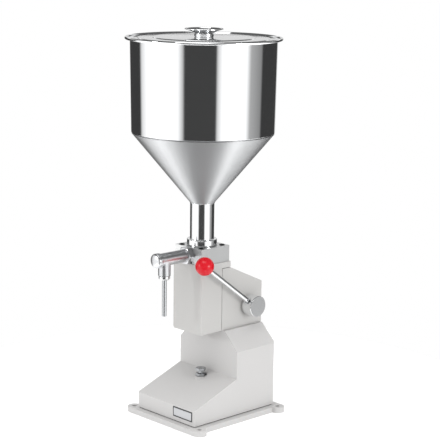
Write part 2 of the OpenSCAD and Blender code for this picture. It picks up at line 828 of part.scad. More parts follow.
module inlet_spring() {
    floor_z = housing_top + cage_t;
    color("#9a9b9d") on_axis(floor_z)
        coil(inlet_coil_r, spring_wire, chamber_top - inlet_disc_t - floor_z, inlet_turns);
}

module inlet_cage() {
    color("#c9cacb") on_axis(housing_top) difference() {
        union() {
            difference() {
                cylinder(h = cage_t, d = cage_d);
                translate([0, 0, -cut]) cylinder(h = cage_t + 2 * cut, d = chamber_d - 2 * cage_rim);
            }
            cylinder(h = cage_hub_h, d = cage_hub_d);
            for (i = [0:cage_spokes - 1]) rotate(360 * i / cage_spokes) translate([0, -cage_spoke / 2, 0])
                cube([chamber_d / 2, cage_spoke, cage_t]);
        }
        translate([0, 0, -cut]) cylinder(h = cage_hub_h + 2 * cut, d = inlet_stem_d + 2 * run);
    }
}

// Hopper

module hopper() {
    w = hopper_wall;
    neck_r = neck_d / 2;
    bowl_r = bowl_d / 2;
    foot_r = bowl_r - bowl_taper;
    foot_z = block_top + stub_h + union_seal_t;
    flare_z = rim_z - bead_d / 2 - rim_flare;
    bead_r = rim_d / 2 - bead_d / 2;
    lift = w * tan(atan((foot_r - neck_r) / cone_h) / 2);
    outer = concat(
        [[neck_flange_d / 2, foot_z], [neck_flange_d / 2, foot_z + neck_flange_t],
            [neck_r, foot_z + neck_flange_t]],
        arc_at([neck_r, foot_z], [neck_r, cone_z], [foot_r, bowl_z], neck_fillet),
        arc_at([neck_r, cone_z], [foot_r, bowl_z], [bowl_r, flare_z], cone_fillet),
        [[bowl_r, flare_z], [bead_r, rim_z - bead_d / 2]]);
    inner = concat(
        [[bead_r - w, rim_z - bead_d / 2 + w / 2], [bowl_r - w, flare_z + w / 2]],
        arc_at([bowl_r - w, flare_z], [foot_r - w, bowl_z + lift], [neck_r - w, cone_z + lift],
            cone_fillet - w),
        arc_at([foot_r - w, bowl_z + lift], [neck_r - w, cone_z + lift], [neck_r - w, foot_z],
            neck_fillet + w),
        [[neck_r - w, foot_z]]);
    color("#c4c6c8") on_axis() rotate_extrude($fn = 128) {
        polygon(concat(outer, inner));
        translate([bead_r, rim_z - bead_d / 2]) circle(d = bead_d, $fn = 48);
    }
}

module union_nut() {
    shoulder = block_top + stub_h + union_seal_t + neck_flange_t + fit;
    top = block_top + union_h + union_lift;
    color("#bfc1c3") on_axis() rotate_extrude() polygon([
        [stub_d / 2 + fit, block_top + union_lift], [union_d / 2 - union_chamfer, block_top + union_lift],
        [union_d / 2, block_top + union_lift + union_chamfer],
        [union_d / 2, top - union_chamfer], [union_d / 2 - union_chamfer, top],
        [neck_d / 2 + pass, top], [neck_d / 2 + pass, shoulder], [stub_d / 2 + fit, shoulder]]);
}

module union_seal() {
    color("#f0eee8") on_axis(block_top + stub_h) difference() {
        cylinder(h = union_seal_t, d = neck_flange_d);
        translate([0, 0, -cut]) cylinder(h = union_seal_t + 2 * cut, d = stub_bore + 2 * union_seal_lap);
    }
}

// Lid

module lid() {
    step_r = lid_edge_r * lid_step_share;
    ring_r = lid_edge_r * lid_ring_share;
    edge = lid_edge_z;
    mid = edge + lid_step_h;
    color("#c9cbcd") on_axis() difference() {
        rotate_extrude($fn = 128) {
            polygon([
                [0, lid_top], [ring_r, lid_top], [ring_r + lid_slope, mid], [step_r, mid],
                [step_r + lid_slope, edge], [lid_edge_r, edge], [lid_edge_r, edge - lid_t],
                [step_r + lid_slope - lid_t / 2, edge - lid_t], [step_r - lid_t / 2, mid - lid_t],
                [ring_r + lid_slope - lid_t / 2, mid - lid_t], [ring_r - lid_t / 2, lid_top - lid_t],
                    [0, lid_top - lid_t]]);
            translate([lid_skirt_r - lid_t, edge - lid_skirt_h]) square([lid_t, lid_skirt_h - lid_t / 2]);
        }
        translate([0, 0, lid_top - lid_t - cut]) cylinder(h = lid_t + 2 * cut, d = knob_screw_d + 2 * fit);
    }
}

module lid_knob() {
    neck_r = knob_neck_d / 2;
    edge_r = knob_d / 2;
    rise = knob_top - lid_top;
    neck_top = rise * knob_neck_share;
    dish = rise * knob_dish_share;
    flare = [for (i = [0:8]) let (a = 90 * i / 8)
        [edge_r - (edge_r - neck_r) * cos(a), neck_top + (rise - knob_edge_t - neck_top) * (1 - cos(a))]];
    bowl = [for (i = [0:8]) let (a = 90 * i / 8)
        [(edge_r - knob_edge_t) * cos(a), rise - dish * sin(a)]];
    color("#b4b6b8") on_axis(lid_top) difference() {
        rotate_extrude() polygon(concat([[0, 0], [neck_r - knob_foot, 0], [neck_r, knob_foot],
            [neck_r, neck_top]],
            [for (p = flare) [p[0], p[1]]], [[edge_r, rise]], bowl));
        translate([0, 0, -cut]) cylinder(h = cut + rise * knob_hole_share, d = knob_screw_d + 2 * fit);
    }
}

module lid_knob_screw() {
    grip = (knob_top - lid_top) * knob_grip_share;
    color("#8c8c8c") on_axis(lid_top - lid_t - knob_screw_head_h) difference() {
        union() {
            cylinder(h = knob_screw_head_h, d1 = knob_screw_head_d - 2 * knob_screw_dish,
                d2 = knob_screw_head_d);
            cylinder(h = knob_screw_head_h + lid_t + grip, d = knob_screw_d);
        }
        translate([-knob_screw_head_d / 2, -knob_slot_w / 2, -cut])
            cube([knob_screw_head_d, knob_slot_w, cut + knob_screw_head_h / 2]);
    }
}

// Outlet

module outlet_tube() {
    color("#c4c6c8") difference() {
        union() {
            to_front(tube_back) cylinder(h = tube_reach - tube_back, d = tube_d);
            translate([0, axis_y - nozzle_reach, nozzle_z]) cylinder(h = boss_drop, d = boss_d);
        }
        to_front(tube_back + seat_wall) cylinder(h = tube_reach, d = tube_bore);
        to_front(tube_back - cut) cylinder(h = seat_wall + 2 * cut, d = outlet_d);
        translate([0, axis_y - nozzle_reach, nozzle_z - cut]) cylinder(h = boss_drop, d = boss_port_d);
        translate([0, axis_y - nozzle_reach, nozzle_z - cut])
            cylinder(h = nozzle_spigot_l + cut, d = nozzle_spigot_d + 2 * fit);
    }
}

module outlet_lock_nut() {
    color("#b9bbbd") to_front(block_front) difference() {
        turned_hex(outlet_nut_af, outlet_nut_t, outlet_nut_t * hex_round_share);
        translate([0, 0, -cut]) cylinder(h = outlet_nut_t + 2 * cut, d = tube_d + 2 * fit);
    }
}

module outlet_valve() {
    color("#e8e4da") to_front(tube_back + seat_wall) {
        cylinder(h = outlet_disc_t, d = outlet_disc_d);
        cylinder(h = outlet_disc_t + outlet_guide_l, d = outlet_guide_d);
    }
}

module outlet_spring() {
    start = tube_back + seat_wall + outlet_disc_t;
    color("#9a9b9d") to_front(start) coil(outlet_coil_r, spring_wire, tube_reach - spigot_l - start,
        outlet_turns);
}

module outlet_cap() {
    dome = [for (i = [0:8]) let (a = 90 * i / 8) [cap_d / 2 * cos(a), cap_l + cap_dome * sin(a)]];
    spigot_r = tube_bore / 2 - fit;
    groove = cap_seal_d + 2 * pass;
    color("#c9cacb") to_front(tube_reach) rotate_extrude() polygon(concat(
        [[0, -spigot_l], [spigot_r, -spigot_l], [spigot_r, -spigot_l / 2 - groove / 2],
         [spigot_r - groove, -spigot_l / 2 - groove / 2], [spigot_r - groove, -spigot_l / 2 + groove / 2],
         [spigot_r, -spigot_l / 2 + groove / 2], [spigot_r, 0], [cap_d / 2 - cap_chamfer, 0],
             [cap_d / 2, cap_chamfer]], dome));
}

module cap_seal() {
    color("#2b2b2b") to_front(tube_reach - spigot_l / 2)
        o_ring(tube_bore / 2 - fit - cap_seal_d / 2, cap_seal_d);
}

module nozzle_nut() {
    r = nozzle_nut_d / 2;
    bore = nozzle_shank_d / 2 + fit;
    color("#aeb0b2") translate([0, axis_y - nozzle_reach, nozzle_z - nozzle_seal_t]) rotate_extrude()
        polygon([
        [bore, -nozzle_nut_t], [r - nozzle_nut_chamfer, -nozzle_nut_t],
            [r, nozzle_nut_chamfer - nozzle_nut_t],
        [r, -nozzle_nut_edge], [r - nozzle_nut_edge, 0], [nozzle_spigot_d / 2, 0],
            [nozzle_spigot_d / 2, nozzle_spigot_l], [bore, nozzle_spigot_l]]);
}

module nozzle_seal() {
    color("#2b2b2b") translate([0, axis_y - nozzle_reach, nozzle_z - nozzle_seal_t]) difference() {
        cylinder(h = nozzle_seal_t, d = nozzle_nut_d - 2 * nozzle_seal_inset);
        translate([0, 0, -cut]) cylinder(h = nozzle_seal_t + 2 * cut, d = nozzle_spigot_d + 2 * fit);
    }
}

module nozzle_tube() {
    tip = outlet_z - nozzle_drop;
    shoulder = nozzle_z - nozzle_seal_t - nozzle_nut_t - pass;
    top = nozzle_z - nozzle_seal_t + nozzle_spigot_l;
    color("#b4b6b8") translate([0, axis_y - nozzle_reach, tip]) difference() {
        union() {
            cylinder(h = shoulder - tip, d = nozzle_d);
            cylinder(h = top - tip, d = nozzle_shank_d);
        }
        translate([0, 0, -cut]) cylinder(h = top - tip + 2 * cut, d = nozzle_bore);
    }
}

// Piston

module piston_cylinder() {
    color("#a9abad") difference() {
        union() {
            on_axis(cylinder_bottom) cylinder(h = housing_top - cylinder_bottom, d = cylinder_d);
            on_axis(housing_top - flange_t) cylinder(h = flange_t, d = flange_d);
        }
        on_axis(cylinder_bottom - cut) cylinder(h = housing_top, d = bore_d);
        on_axis(housing_top - seal_d) rotate_extrude() translate([face_groove_r - face_groove_w / 2, 0])
            square([face_groove_w, seal_d + cut]);
    }
}

module cylinder_seal() {
    color("#2b2b2b") on_axis(housing_top - seal_d / 2 - fit / 2) o_ring(face_groove_r, seal_d - fit);
}

module rod_guide() {
    color("#b08d4a") on_axis(column_top - guide_flange_t) difference() {
        union() {
            cylinder(h = floor_t + guide_flange_t, d = rod_d + 2 * guide_wall);
            cylinder(h = guide_flange_t, d = rod_d + 2 * (guide_wall + guide_flange_w));
        }
        translate([0, 0, -cut]) cylinder(h = floor_t + guide_flange_t + 2 * cut, d = rod_d + 2 * run);
    }
}

module piston() {
    color("#efece4") on_axis(piston_bottom) difference() {
        cylinder(h = piston_l, d = bore_d - 4 * run);
        translate([0, 0, -cut]) cylinder(h = piston_l + 2 * cut, d = piston_spigot_d + 2 * fit);
        translate([0, 0, piston_l - piston_pocket])
            cylinder(h = piston_pocket + cut, d = piston_nut_af + 2 * piston_pocket_side);
        for (s = piston_ring_share) translate([0, 0, piston_l * s - piston_ring_d / 2 - fit])
            difference() {
                cylinder(h = piston_ring_d + 2 * fit, d = bore_d + cut);
                translate([0, 0, -cut]) cylinder(h = piston_ring_d + 2 * cut + 2 * fit,
                    d = bore_d - 2 * piston_ring_d - 4 * fit);
            }
    }
}

module piston_rings() {
    color("#2b2b2b") for (s = piston_ring_share)
        on_axis(piston_bottom + piston_l * s) o_ring(bore_d / 2 - run - piston_ring_d / 2, piston_ring_d);
}

module piston_nut() {
    color("#8c8c8c") on_axis(piston_top - piston_pocket) difference() {
        turned_hex(piston_nut_af, piston_nut_t, piston_nut_t * hex_round_share);
        translate([0, 0, -cut]) cylinder(h = piston_nut_t + 2 * cut, d = piston_spigot_d + 2 * fit);
    }
}

module piston_rod() {
    color("#bfc1c3") difference() {
        union() {
            on_axis(rod_bottom) cylinder(h = piston_bottom - rod_bottom, d = rod_d);
            on_axis(piston_bottom - cut) cylinder(h = piston_l + cut - 2 * pass, d = piston_spigot_d);
        }
        on_axis(pin_z) rotate([0, 90, 0]) cylinder(h = rod_d + 2 * cut, d = pin_d + 2 * fit, center = true);
    }
}

module crosshead_pin() {
    color("#bfc1c3") on_axis(pin_z) rotate([0, 90, 0]) difference() {
        cylinder(h = pin_l, d = pin_d, center = true);
        at_pin_clips() difference() {
            cylinder(h = clip_t + 2 * fit, d = pin_d + cut, center = true);
            cylinder(h = clip_t + cut, d = pin_d * core_share, center = true);
        }
    }
}

// Places of the clips along the crosshead pin
module at_pin_clips() for (s = [-1, 1]) translate([0, 0, s * (fork_w / 2 + pass + clip_t / 2)]) children();

module pin_clips() {
    color("#4a4b4d") on_axis(pin_z) rotate([0, 90, 0]) at_pin_clips() translate([0, 0, -clip_t / 2])
        clip(pin_d * core_share + 2 * fit, pin_d + 2 * clip_rise, clip_t, 60);
}

// Lever

module main_shaft() {
    groove_x = -(housing_w / 2 + bush_flange_t + pass + clip_t / 2);
    color("#b4b6b8") difference() {
        translate([-shaft_left, shaft_y, shaft_z]) rotate([0, 90, 0])
            cylinder(h = shaft_left + shaft_right, d = shaft_d);
        translate([groove_x, shaft_y, shaft_z]) rotate([0, 90, 0]) difference() {
            cylinder(h = clip_t + 2 * fit, d = shaft_d + cut, center = true);
            cylinder(h = clip_t + cut, d = shaft_d * core_share, center = true);
        }
        rocker_pin_bore(rocker_pin_d + 2 * fit);
    }
}

module shaft_bushes() {
    color("#b08d4a") for (s = [0, 1]) mirror([s, 0, 0]) translate([housing_w / 2, shaft_y, shaft_z])
        rotate([0, 90, 0])
        difference() {
            union() {
                translate([0, 0, -rear_wall - bush_post])
                    cylinder(h = rear_wall + bush_post, d = shaft_d + 2 * bush_wall);
                cylinder(h = bush_flange_t, d = shaft_d + 2 * (bush_wall + bush_flange_w));
            }
            translate([0, 0, -rear_wall - bush_post - cut])
                cylinder(h = rear_wall + bush_post + bush_flange_t + 2 * cut, d = shaft_d + 2 * run);
        }
}

module shaft_clip() {
    color("#4a4b4d") translate([-(housing_w / 2 + bush_flange_t + pass + clip_t), shaft_y, shaft_z])
        rotate([0, 90, 0])
        clip(shaft_d * core_share + 2 * fit, shaft_d + 2 * clip_rise, clip_t, 60);
}

module rocker_pin_bore(d) {
    translate([0, shaft_y, shaft_z]) rotate([90 - rocker_angle + 90, 0, 0])
        cylinder(h = rocker_hub_d + 2 * cut, d = d, center = true);
}

// Outline of one plate of the rocker arm, from the hub out along X
module rocker_outline() {
    hub_r = rocker_hub_d / 2;
    lean = asin((hub_r - rocker_end_r) / rocker_reach);
    circle(hub_r);
    translate([rocker_reach, 0]) circle(rocker_end_r);
    polygon([
        [hub_r * sin(lean), hub_r * cos(lean)],
        [rocker_reach + rocker_end_r * sin(lean), rocker_end_r * cos(lean)],
        [rocker_reach + rocker_end_r * sin(lean), -rocker_end_r * cos(lean)],
        [hub_r * sin(lean), -hub_r * cos(lean)]]);
}

// Children drawn with X along the rocker arm and Z along the shaft
module in_rocker() translate([0, shaft_y, shaft_z]) rotate([0, 0, 180]) rotate([rocker_angle, 0, 0])
    rotate([90, 0, 90]) children();

module rocker_arm() {
    slot = pin_d + 2 * slot_side;
    web_x = rocker_hub_d / 2 - 2 * cut;
    color("#8f9194") difference() {
        union() {
            for (s = [-1, 1]) in_rocker() translate([0, 0, s * (fork_gap + plate_arm_t) / 2])
                linear_extrude(plate_arm_t, center = true) rocker_outline();
            in_rocker() cylinder(h = rocker_hub_w, d = rocker_hub_d, center = true);
            in_rocker() translate([web_x, -rocker_web_t / 2, -fork_w / 2 + cut])
                cube([rocker_web_l, rocker_web_t, fork_w - 2 * cut]);
        }
        in_rocker() cylinder(h = rocker_hub_w + 2 * cut, d = shaft_d + 2 * fit, center = true);
        in_rocker() translate([arm_l, 0, 0]) cylinder(h = fork_w + 2 * cut, d = slot, center = true);
        in_rocker() translate([arm_l, -slot / 2, -fork_w / 2 - cut])
            cube([rocker_end_r + arm_l, slot, fork_w + 2 * cut]);
        rocker_pin_bore(rocker_pin_d + 2 * fit);
    }
}

module rocker_pin() {
    color("#bfc1c3") translate([0, shaft_y, shaft_z]) rotate([180 - rocker_angle, 0, 0])
        cylinder(h = rocker_hub_d, d = rocker_pin_d, center = true);
}

module handle_hub() {
    c = hub_chamfer;
    r = hub_d / 2;
    color("#c9cacb") difference() {
        translate([hub_x, shaft_y, shaft_z]) rotate([0, 90, 0]) rotate_extrude()
            polygon([[0, 0], [r - c, 0], [r, c], [r, hub_l - c], [r - c, hub_l], [0, hub_l]]);
        translate([hub_x - cut, shaft_y, shaft_z]) rotate([0, 90, 0])
            cylinder(h = cut + hub_l - hub_blind + pass, d = shaft_d + 2 * fit);
        along_handle(rod_x) cylinder(h = hub_d, d = handle_rod_d + 2 * fit);
        along_handle(rod_x) translate([0, 0, hub_d / 2 - hub_counterbore_h])
            cylinder(h = hub_d, d = hub_counterbore_d);
        along_handle(rod_x) rotate([180, 0, 0]) cylinder(h = hub_d, d = set_screw_d + 2 * fit);
    }
}

module hub_set_screw() {
    color("#4a4b4d") along_handle(rod_x) rotate([180, 0, 0]) translate([0, 0, shaft_d / 2 + fit])
        difference() {
        cylinder(h = hub_d / 2 - shaft_d / 2 - set_screw_sink, d = set_screw_d);
        translate([0, 0, (hub_d - shaft_d) / 4]) hex_bar(set_screw_d / 2, hub_d);
    }
}

module handle_rod() {
    color("#c9cacb") along_handle(rod_x) translate([0, 0, rod_root])
        cylinder(h = handle_l - ball_d / 2 + insert_l - rod_root - 2 * cut, d = handle_rod_d);
}

module ball_insert() {
    start = handle_l - ball_d / 2 * ball_flat_share;
    color("#b08d4a") along_handle(rod_x) translate([0, 0, start]) difference() {
        cylinder(h = insert_l, d = handle_rod_d + 2 * insert_wall);
        translate([0, 0, -cut]) cylinder(h = insert_l + 2 * cut, d = handle_rod_d + 2 * fit);
    }
}

module ball_knob() {
    start = handle_l - ball_d / 2 * ball_flat_share;
    color("#d11522") along_handle(rod_x) difference() {
        translate([0, 0, handle_l]) sphere(d = ball_d, $fn = 96);
        translate([0, 0, start - ball_d]) cylinder(h = ball_d, d = ball_d);
        translate([0, 0, start - cut]) cylinder(h = insert_l + cut + fit,
            d = handle_rod_d + 2 * (insert_wall + fit));
    }
}

// Stroke screw

module screw_boss() {
    color("#d2d1ce") on_axis(screw_seat_z - screw_boss_h) difference() {
        cylinder(h = screw_boss_h, d = screw_boss_d);
        translate([0, 0, -cut]) cylinder(h = screw_boss_h + 2 * cut, d = screw_d + 2 * run);
    }
}

module stroke_screw() {
    color("#bfc1c3") {
        on_axis(screw_head_z) turned_hex(hex_af, head_h, head_h * hex_round_share);
        on_axis(screw_head_z - screw_l) cylinder(h = screw_l + fit, d = screw_d);
    }
}

module stroke_lock_nut() {
    color("#b4b6b8") on_axis(screw_seat_z) difference() {
        turned_hex(hex_af, hex_nut_t, hex_nut_t * hex_round_share);
        translate([0, 0, -cut]) cylinder(h = hex_nut_t + 2 * cut, d = screw_d + 2 * run);
    }
}

base_plate();
base_gasket();
base_shell();
base_screws();
front_housing();
rear_housing();
housing_screws();
valve_block();
block_screws();
piston_cylinder();
cylinder_seal();
rod_guide();
inlet_seat();
inlet_valve();
inlet_spring();
inlet_cage();
hopper();
union_nut();
union_seal();
lid();
lid_knob();
lid_knob_screw();
outlet_tube();
outlet_lock_nut();
outlet_valve();
outlet_spring();
outlet_cap();
cap_seal();
nozzle_nut();
nozzle_seal();
nozzle_tube();
piston();
piston_rings();
piston_nut();
piston_rod();
crosshead_pin();
pin_clips();
main_shaft();
shaft_bushes();
shaft_clip();
rocker_arm();
rocker_pin();
handle_hub();
hub_set_screw();
handle_rod();
ball_insert();
ball_knob();
screw_boss();
stroke_screw();
stroke_lock_nut();
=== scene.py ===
"""Looks of a manual paste filling machine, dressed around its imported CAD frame.

Every size below is in millimetres in the record's frame: the origin is the middle of the four
base holes, +Z is up, -Y is the front and +X is the side of the lever.
"""

from __future__ import annotations

import json
import logging
import math
from dataclasses import dataclass, field
from enum import Enum
from typing import Iterable, Sequence

import bmesh
import bpy
from mathutils import Matrix, Vector

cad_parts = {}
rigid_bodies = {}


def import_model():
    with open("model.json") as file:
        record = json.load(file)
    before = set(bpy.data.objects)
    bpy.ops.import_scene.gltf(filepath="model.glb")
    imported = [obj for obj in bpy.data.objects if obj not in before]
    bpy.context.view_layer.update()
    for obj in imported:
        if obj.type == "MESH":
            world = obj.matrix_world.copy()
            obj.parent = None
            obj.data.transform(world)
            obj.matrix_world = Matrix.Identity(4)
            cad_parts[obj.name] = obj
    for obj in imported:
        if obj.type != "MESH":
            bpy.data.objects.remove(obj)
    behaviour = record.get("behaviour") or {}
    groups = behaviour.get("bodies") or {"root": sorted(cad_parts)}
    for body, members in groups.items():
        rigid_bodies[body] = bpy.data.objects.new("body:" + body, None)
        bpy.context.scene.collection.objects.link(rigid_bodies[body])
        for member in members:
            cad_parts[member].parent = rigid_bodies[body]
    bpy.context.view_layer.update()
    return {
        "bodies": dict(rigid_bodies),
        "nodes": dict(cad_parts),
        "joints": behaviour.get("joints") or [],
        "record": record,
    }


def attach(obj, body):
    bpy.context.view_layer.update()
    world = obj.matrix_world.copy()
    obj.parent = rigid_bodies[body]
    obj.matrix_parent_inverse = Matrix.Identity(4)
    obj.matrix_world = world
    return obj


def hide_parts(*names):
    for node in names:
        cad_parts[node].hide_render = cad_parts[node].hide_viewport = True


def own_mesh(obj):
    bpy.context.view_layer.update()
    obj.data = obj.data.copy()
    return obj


LOG = logging.getLogger("paste_filler")
MM = 0.001
AXIS_Y = -15.0
TURN = 2 * math.pi
# Material slot of the record that most bright pieces have
STEEL = "polished_stainless"
# Segments round the largest turned shapes
FINE = 160
# Values that a cloud of noise mostly lies between
NOISE_LOW, NOISE_TOP = 0.3, 0.7
# Merge distances in metres, for a lathe's seam and for a CAD node's loose triangles
SEAM, LOOSE = 1e-7, 2e-6
# How far off a corner's sides and off its arc a point may lie, in metres
OFF_SIDE, OFF_ARC = 1e-6, 6e-5

BMesh = bmesh.types.BMesh
Pairs = tuple[tuple[float, float], ...]


class Direction(Enum):
    """Directions that a lathe axis or a line of polish can have."""

    X = (1.0, 0.0, 0.0)
    Y = (0.0, 1.0, 0.0)
    Z = (0.0, 0.0, 1.0)
    FRONT = (0.0, -1.0, 0.0)
    DOWN = (0.0, 0.0, -1.0)


def to_linear(code: str) -> tuple[float, float, float, float]:
    """Turn an sRGB hex value into Blender's linear colour.

    Args:
        code: Six hex digits after a hash sign.

    Returns:
        Linear red, green, blue and an alpha of one.
    """
    parts = [int(code[i : i + 2], 16) / 255 for i in (1, 3, 5)]
    linear = [c / 12.92 if c <= 0.04045 else ((c + 0.055) / 1.055) ** 2.4 for c in parts]
    return (linear[0], linear[1], linear[2], 1.0)


def add(tree: bpy.types.NodeTree, kind: str, settings: dict | None = None, **sockets: object) -> bpy.types.Node:
    """Add a shader node with its settings, values and links.

    Args:
        tree: Node tree that the node goes into.
        kind: Blender's name of the node type.
        settings: Attributes of the node itself, or the place and grey of each stop of a colour ramp.
        **sockets: Input sockets by name, with underscores for spaces, or by i and a number. A value
            that is a socket is linked, and any other is set.

    Returns:
        The new node.
    """
    node = tree.nodes.new(kind)
    for name, value in (settings or {}).items():
        if name != "stops":
            setattr(node, name, value)
            continue
        elements = node.color_ramp.elements
        elements.remove(elements[1])
        for i, (place, grey) in enumerate(value):
            element = elements.new(place) if i else elements[0]
            element.position, element.color = place, (grey, grey, grey, 1)
    for name, value in sockets.items():
        numbered = name[0] == "i" and name[1:].isdigit()
        socket = node.inputs[int(name[1:]) if numbered else name.replace("_", " ")]
        if isinstance(value, bpy.types.NodeSocket):
            tree.links.new(value, socket)
        else:
            socket.default_value = value
    return node


def blank(name: str) -> tuple[bpy.types.Material, bpy.types.NodeTree, bpy.types.NodeSocket]:
    """Start a node material.

    Args:
        name: Name of the real material.

    Returns:
        The material, its emptied tree and the Object coordinates' socket.
    """
    material = bpy.data.materials.new(name)
    material.use_nodes = True
    tree = material.node_tree
    tree.nodes.clear()
    place = add(tree, "ShaderNodeTexCoord").outputs["Object"]
    return material, tree, place


def close(tree: bpy.types.NodeTree, **sockets: object) -> None:
    """End a material with its Principled shader, whose inputs are given as add() takes them."""
    shader = add(tree, "ShaderNodeBsdfPrincipled", **sockets)
    add(tree, "ShaderNodeOutputMaterial", Surface=shader.outputs["BSDF"])


@dataclass(frozen=True)
class Metal:
    """Bare or plated metal, rolled, turned, milled or drawn.

    The eye gets a mirror, clear to satin by its roughness, with faint lines left by the tool.
    """

    name: str
    colour: str = "#e6e7e8"
    roughness: float = 0.12
    smear: float = 0.05
    # Real tool lines are a tenth of a millimetre apart or less, and are drawn as coarse as shows
    line_mm: float = 0.9
    line_depth_mm: float = 0.0015
    lines: Direction = Direction.Z
    centre_mm: tuple[float, float, float] = (0.0, AXIS_Y, 0.0)
    rings: bool = False
    # How far spinning draws a highlight out
    spun: float = 0.0

    def make(self) -> bpy.types.Material:
        """Build the node material.

        Returns:
            The material.
        """
        material, tree, place = blank(self.name)
        centre = tuple(v * MM for v in self.centre_mm)
        moved = add(tree, "ShaderNodeVectorMath", {"operation": "SUBTRACT"}, i0=place, i1=centre)
        across = self.across(tree, moved.outputs["Vector"])
        scale = 1 / (self.line_mm * MM)
        lines = add(
            tree, "ShaderNodeTexNoise", {"noise_dimensions": "1D"}, W=across, Scale=scale, Detail=3.0, Roughness=0.7
        )
        cloud = add(tree, "ShaderNodeTexNoise", Vector=place, Scale=22.0, Detail=3.0)
        mixed = add(tree, "ShaderNodeMath", {"operation": "MULTIPLY"}, i0=lines.outputs["Fac"], i1=cloud.outputs["Fac"])
        low, high = self.roughness, self.roughness + self.smear
        rough = add(tree, "ShaderNodeMapRange", Value=mixed.outputs["Value"], i1=0.1, i2=0.45, i3=low, i4=high)
        bump = add(tree, "ShaderNodeBump", Height=lines.outputs["Fac"], Strength=1.0, Distance=self.line_depth_mm * MM)
        axis, arm = self.lines.value, moved.outputs["Vector"]
        round_it = add(tree, "ShaderNodeVectorMath", {"operation": "CROSS_PRODUCT"}, i0=axis, i1=arm)
        spun = {"Anisotropic": self.spun, "Anisotropic_Rotation": 0.25, "Tangent": round_it.outputs["Vector"]}
        close(
            tree, Base_Color=to_linear(self.colour), Metallic=1.0, Roughness=rough.outputs["Result"],
            Normal=bump.outputs["Normal"], **(spun if self.spun else {}),
        )
        return material

    def across(self, tree: bpy.types.NodeTree, vector: bpy.types.NodeSocket) -> bpy.types.NodeSocket:
        """Give the coordinate that the polish lines change along.

        Args:
            tree: Node tree of the material.
            vector: Position counted from the centre of the lines.

        Returns:
            A socket in metres: the radius for rings, and else the place along one direction.
        """
        if self.rings:
            away = [0.0 if abs(v) > 0.5 else 1.0 for v in self.lines.value]
            flat = add(tree, "ShaderNodeVectorMath", {"operation": "MULTIPLY"}, i0=vector, i1=away)
            length = add(tree, "ShaderNodeVectorMath", {"operation": "LENGTH"}, i0=flat.outputs["Vector"])
            return length.outputs["Value"]
        along = add(tree, "ShaderNodeVectorMath", {"operation": "DOT_PRODUCT"}, i0=vector, i1=self.lines.value)
        return along.outputs["Value"]


@dataclass(frozen=True)
class PowderCoat:
    """Polyester powder coat over sheet or cast metal.

    The eye gets a satin light grey with the low, soft waves of a stoved powder.
    """

    name: str
    colour: str
    roughness: float = 0.42
    wave_mm: float = 1.6
    wave_depth_mm: float = 0.02
    tone: float = 0.012
    spread: float = 0.03

    def make(self) -> bpy.types.Material:
        """Build the node material.

        Returns:
            The material.
        """
        material, tree, place = blank(self.name)
        wave = add(tree, "ShaderNodeTexNoise", Vector=place, Scale=1 / (self.wave_mm * MM), Detail=2.0)
        cloud = add(tree, "ShaderNodeTexNoise", Vector=place, Scale=9.0, Detail=2.0)
        base = to_linear(self.colour)
        tint = add(tree, "ShaderNodeMix", {"data_type": "RGBA"}, i0=cloud.outputs["Fac"])
        tint.inputs[6].default_value = (*(c * (1 - self.tone) for c in base[:3]), 1)
        tint.inputs[7].default_value = (*(c * (1 + self.tone) for c in base[:3]), 1)
        low, high = self.roughness - self.spread, self.roughness + self.spread
        rough = add(tree, "ShaderNodeMapRange", Value=cloud.outputs["Fac"], i1=NOISE_LOW, i2=NOISE_TOP, i3=low, i4=high)
        bump = add(tree, "ShaderNodeBump", Height=wave.outputs["Fac"], Strength=1.0, Distance=self.wave_depth_mm * MM)
        close(
            tree, Base_Color=tint.outputs[2], Roughness=rough.outputs["Result"], IOR=1.5, Normal=bump.outputs["Normal"]
        )
        return material


@dataclass(frozen=True)
class Moulded:
    """Moulded or turned polymer: phenolic, acetal, nitrile or silicone.

    The eye gets one colour under a clear or matt skin, with the faint cloud of a moulding.
    """

    name: str
    colour: str
    roughness: float
    index: float = 1.54
    # A real moulded skin is finer, and is drawn as coarse as shows
    grain_mm: float = 0.8
    grain_depth_mm: float = 0.004
    spread: float = 0.15

    def make(self) -> bpy.types.Material:
        """Build the node material.

        Returns:
            The material.
        """
        material, tree, place = blank(self.name)
        grain = add(tree, "ShaderNodeTexNoise", Vector=place, Scale=1 / (self.grain_mm * MM), Detail=2.0)
        cloud = add(tree, "ShaderNodeTexNoise", Vector=place, Scale=60.0, Detail=2.0)
        low, high = self.roughness * (1 - self.spread), self.roughness * (1 + self.spread)
        rough = add(tree, "ShaderNodeMapRange", Value=cloud.outputs["Fac"], i1=NOISE_LOW, i2=NOISE_TOP, i3=low, i4=high)
        bump = add(tree, "ShaderNodeBump", Height=grain.outputs["Fac"], Strength=1.0, Distance=self.grain_depth_mm * MM)
        close(
            tree, Base_Color=to_linear(self.colour), Roughness=rough.outputs["Result"], IOR=self.index,
            Normal=bump.outputs["Normal"],
        )
        return material


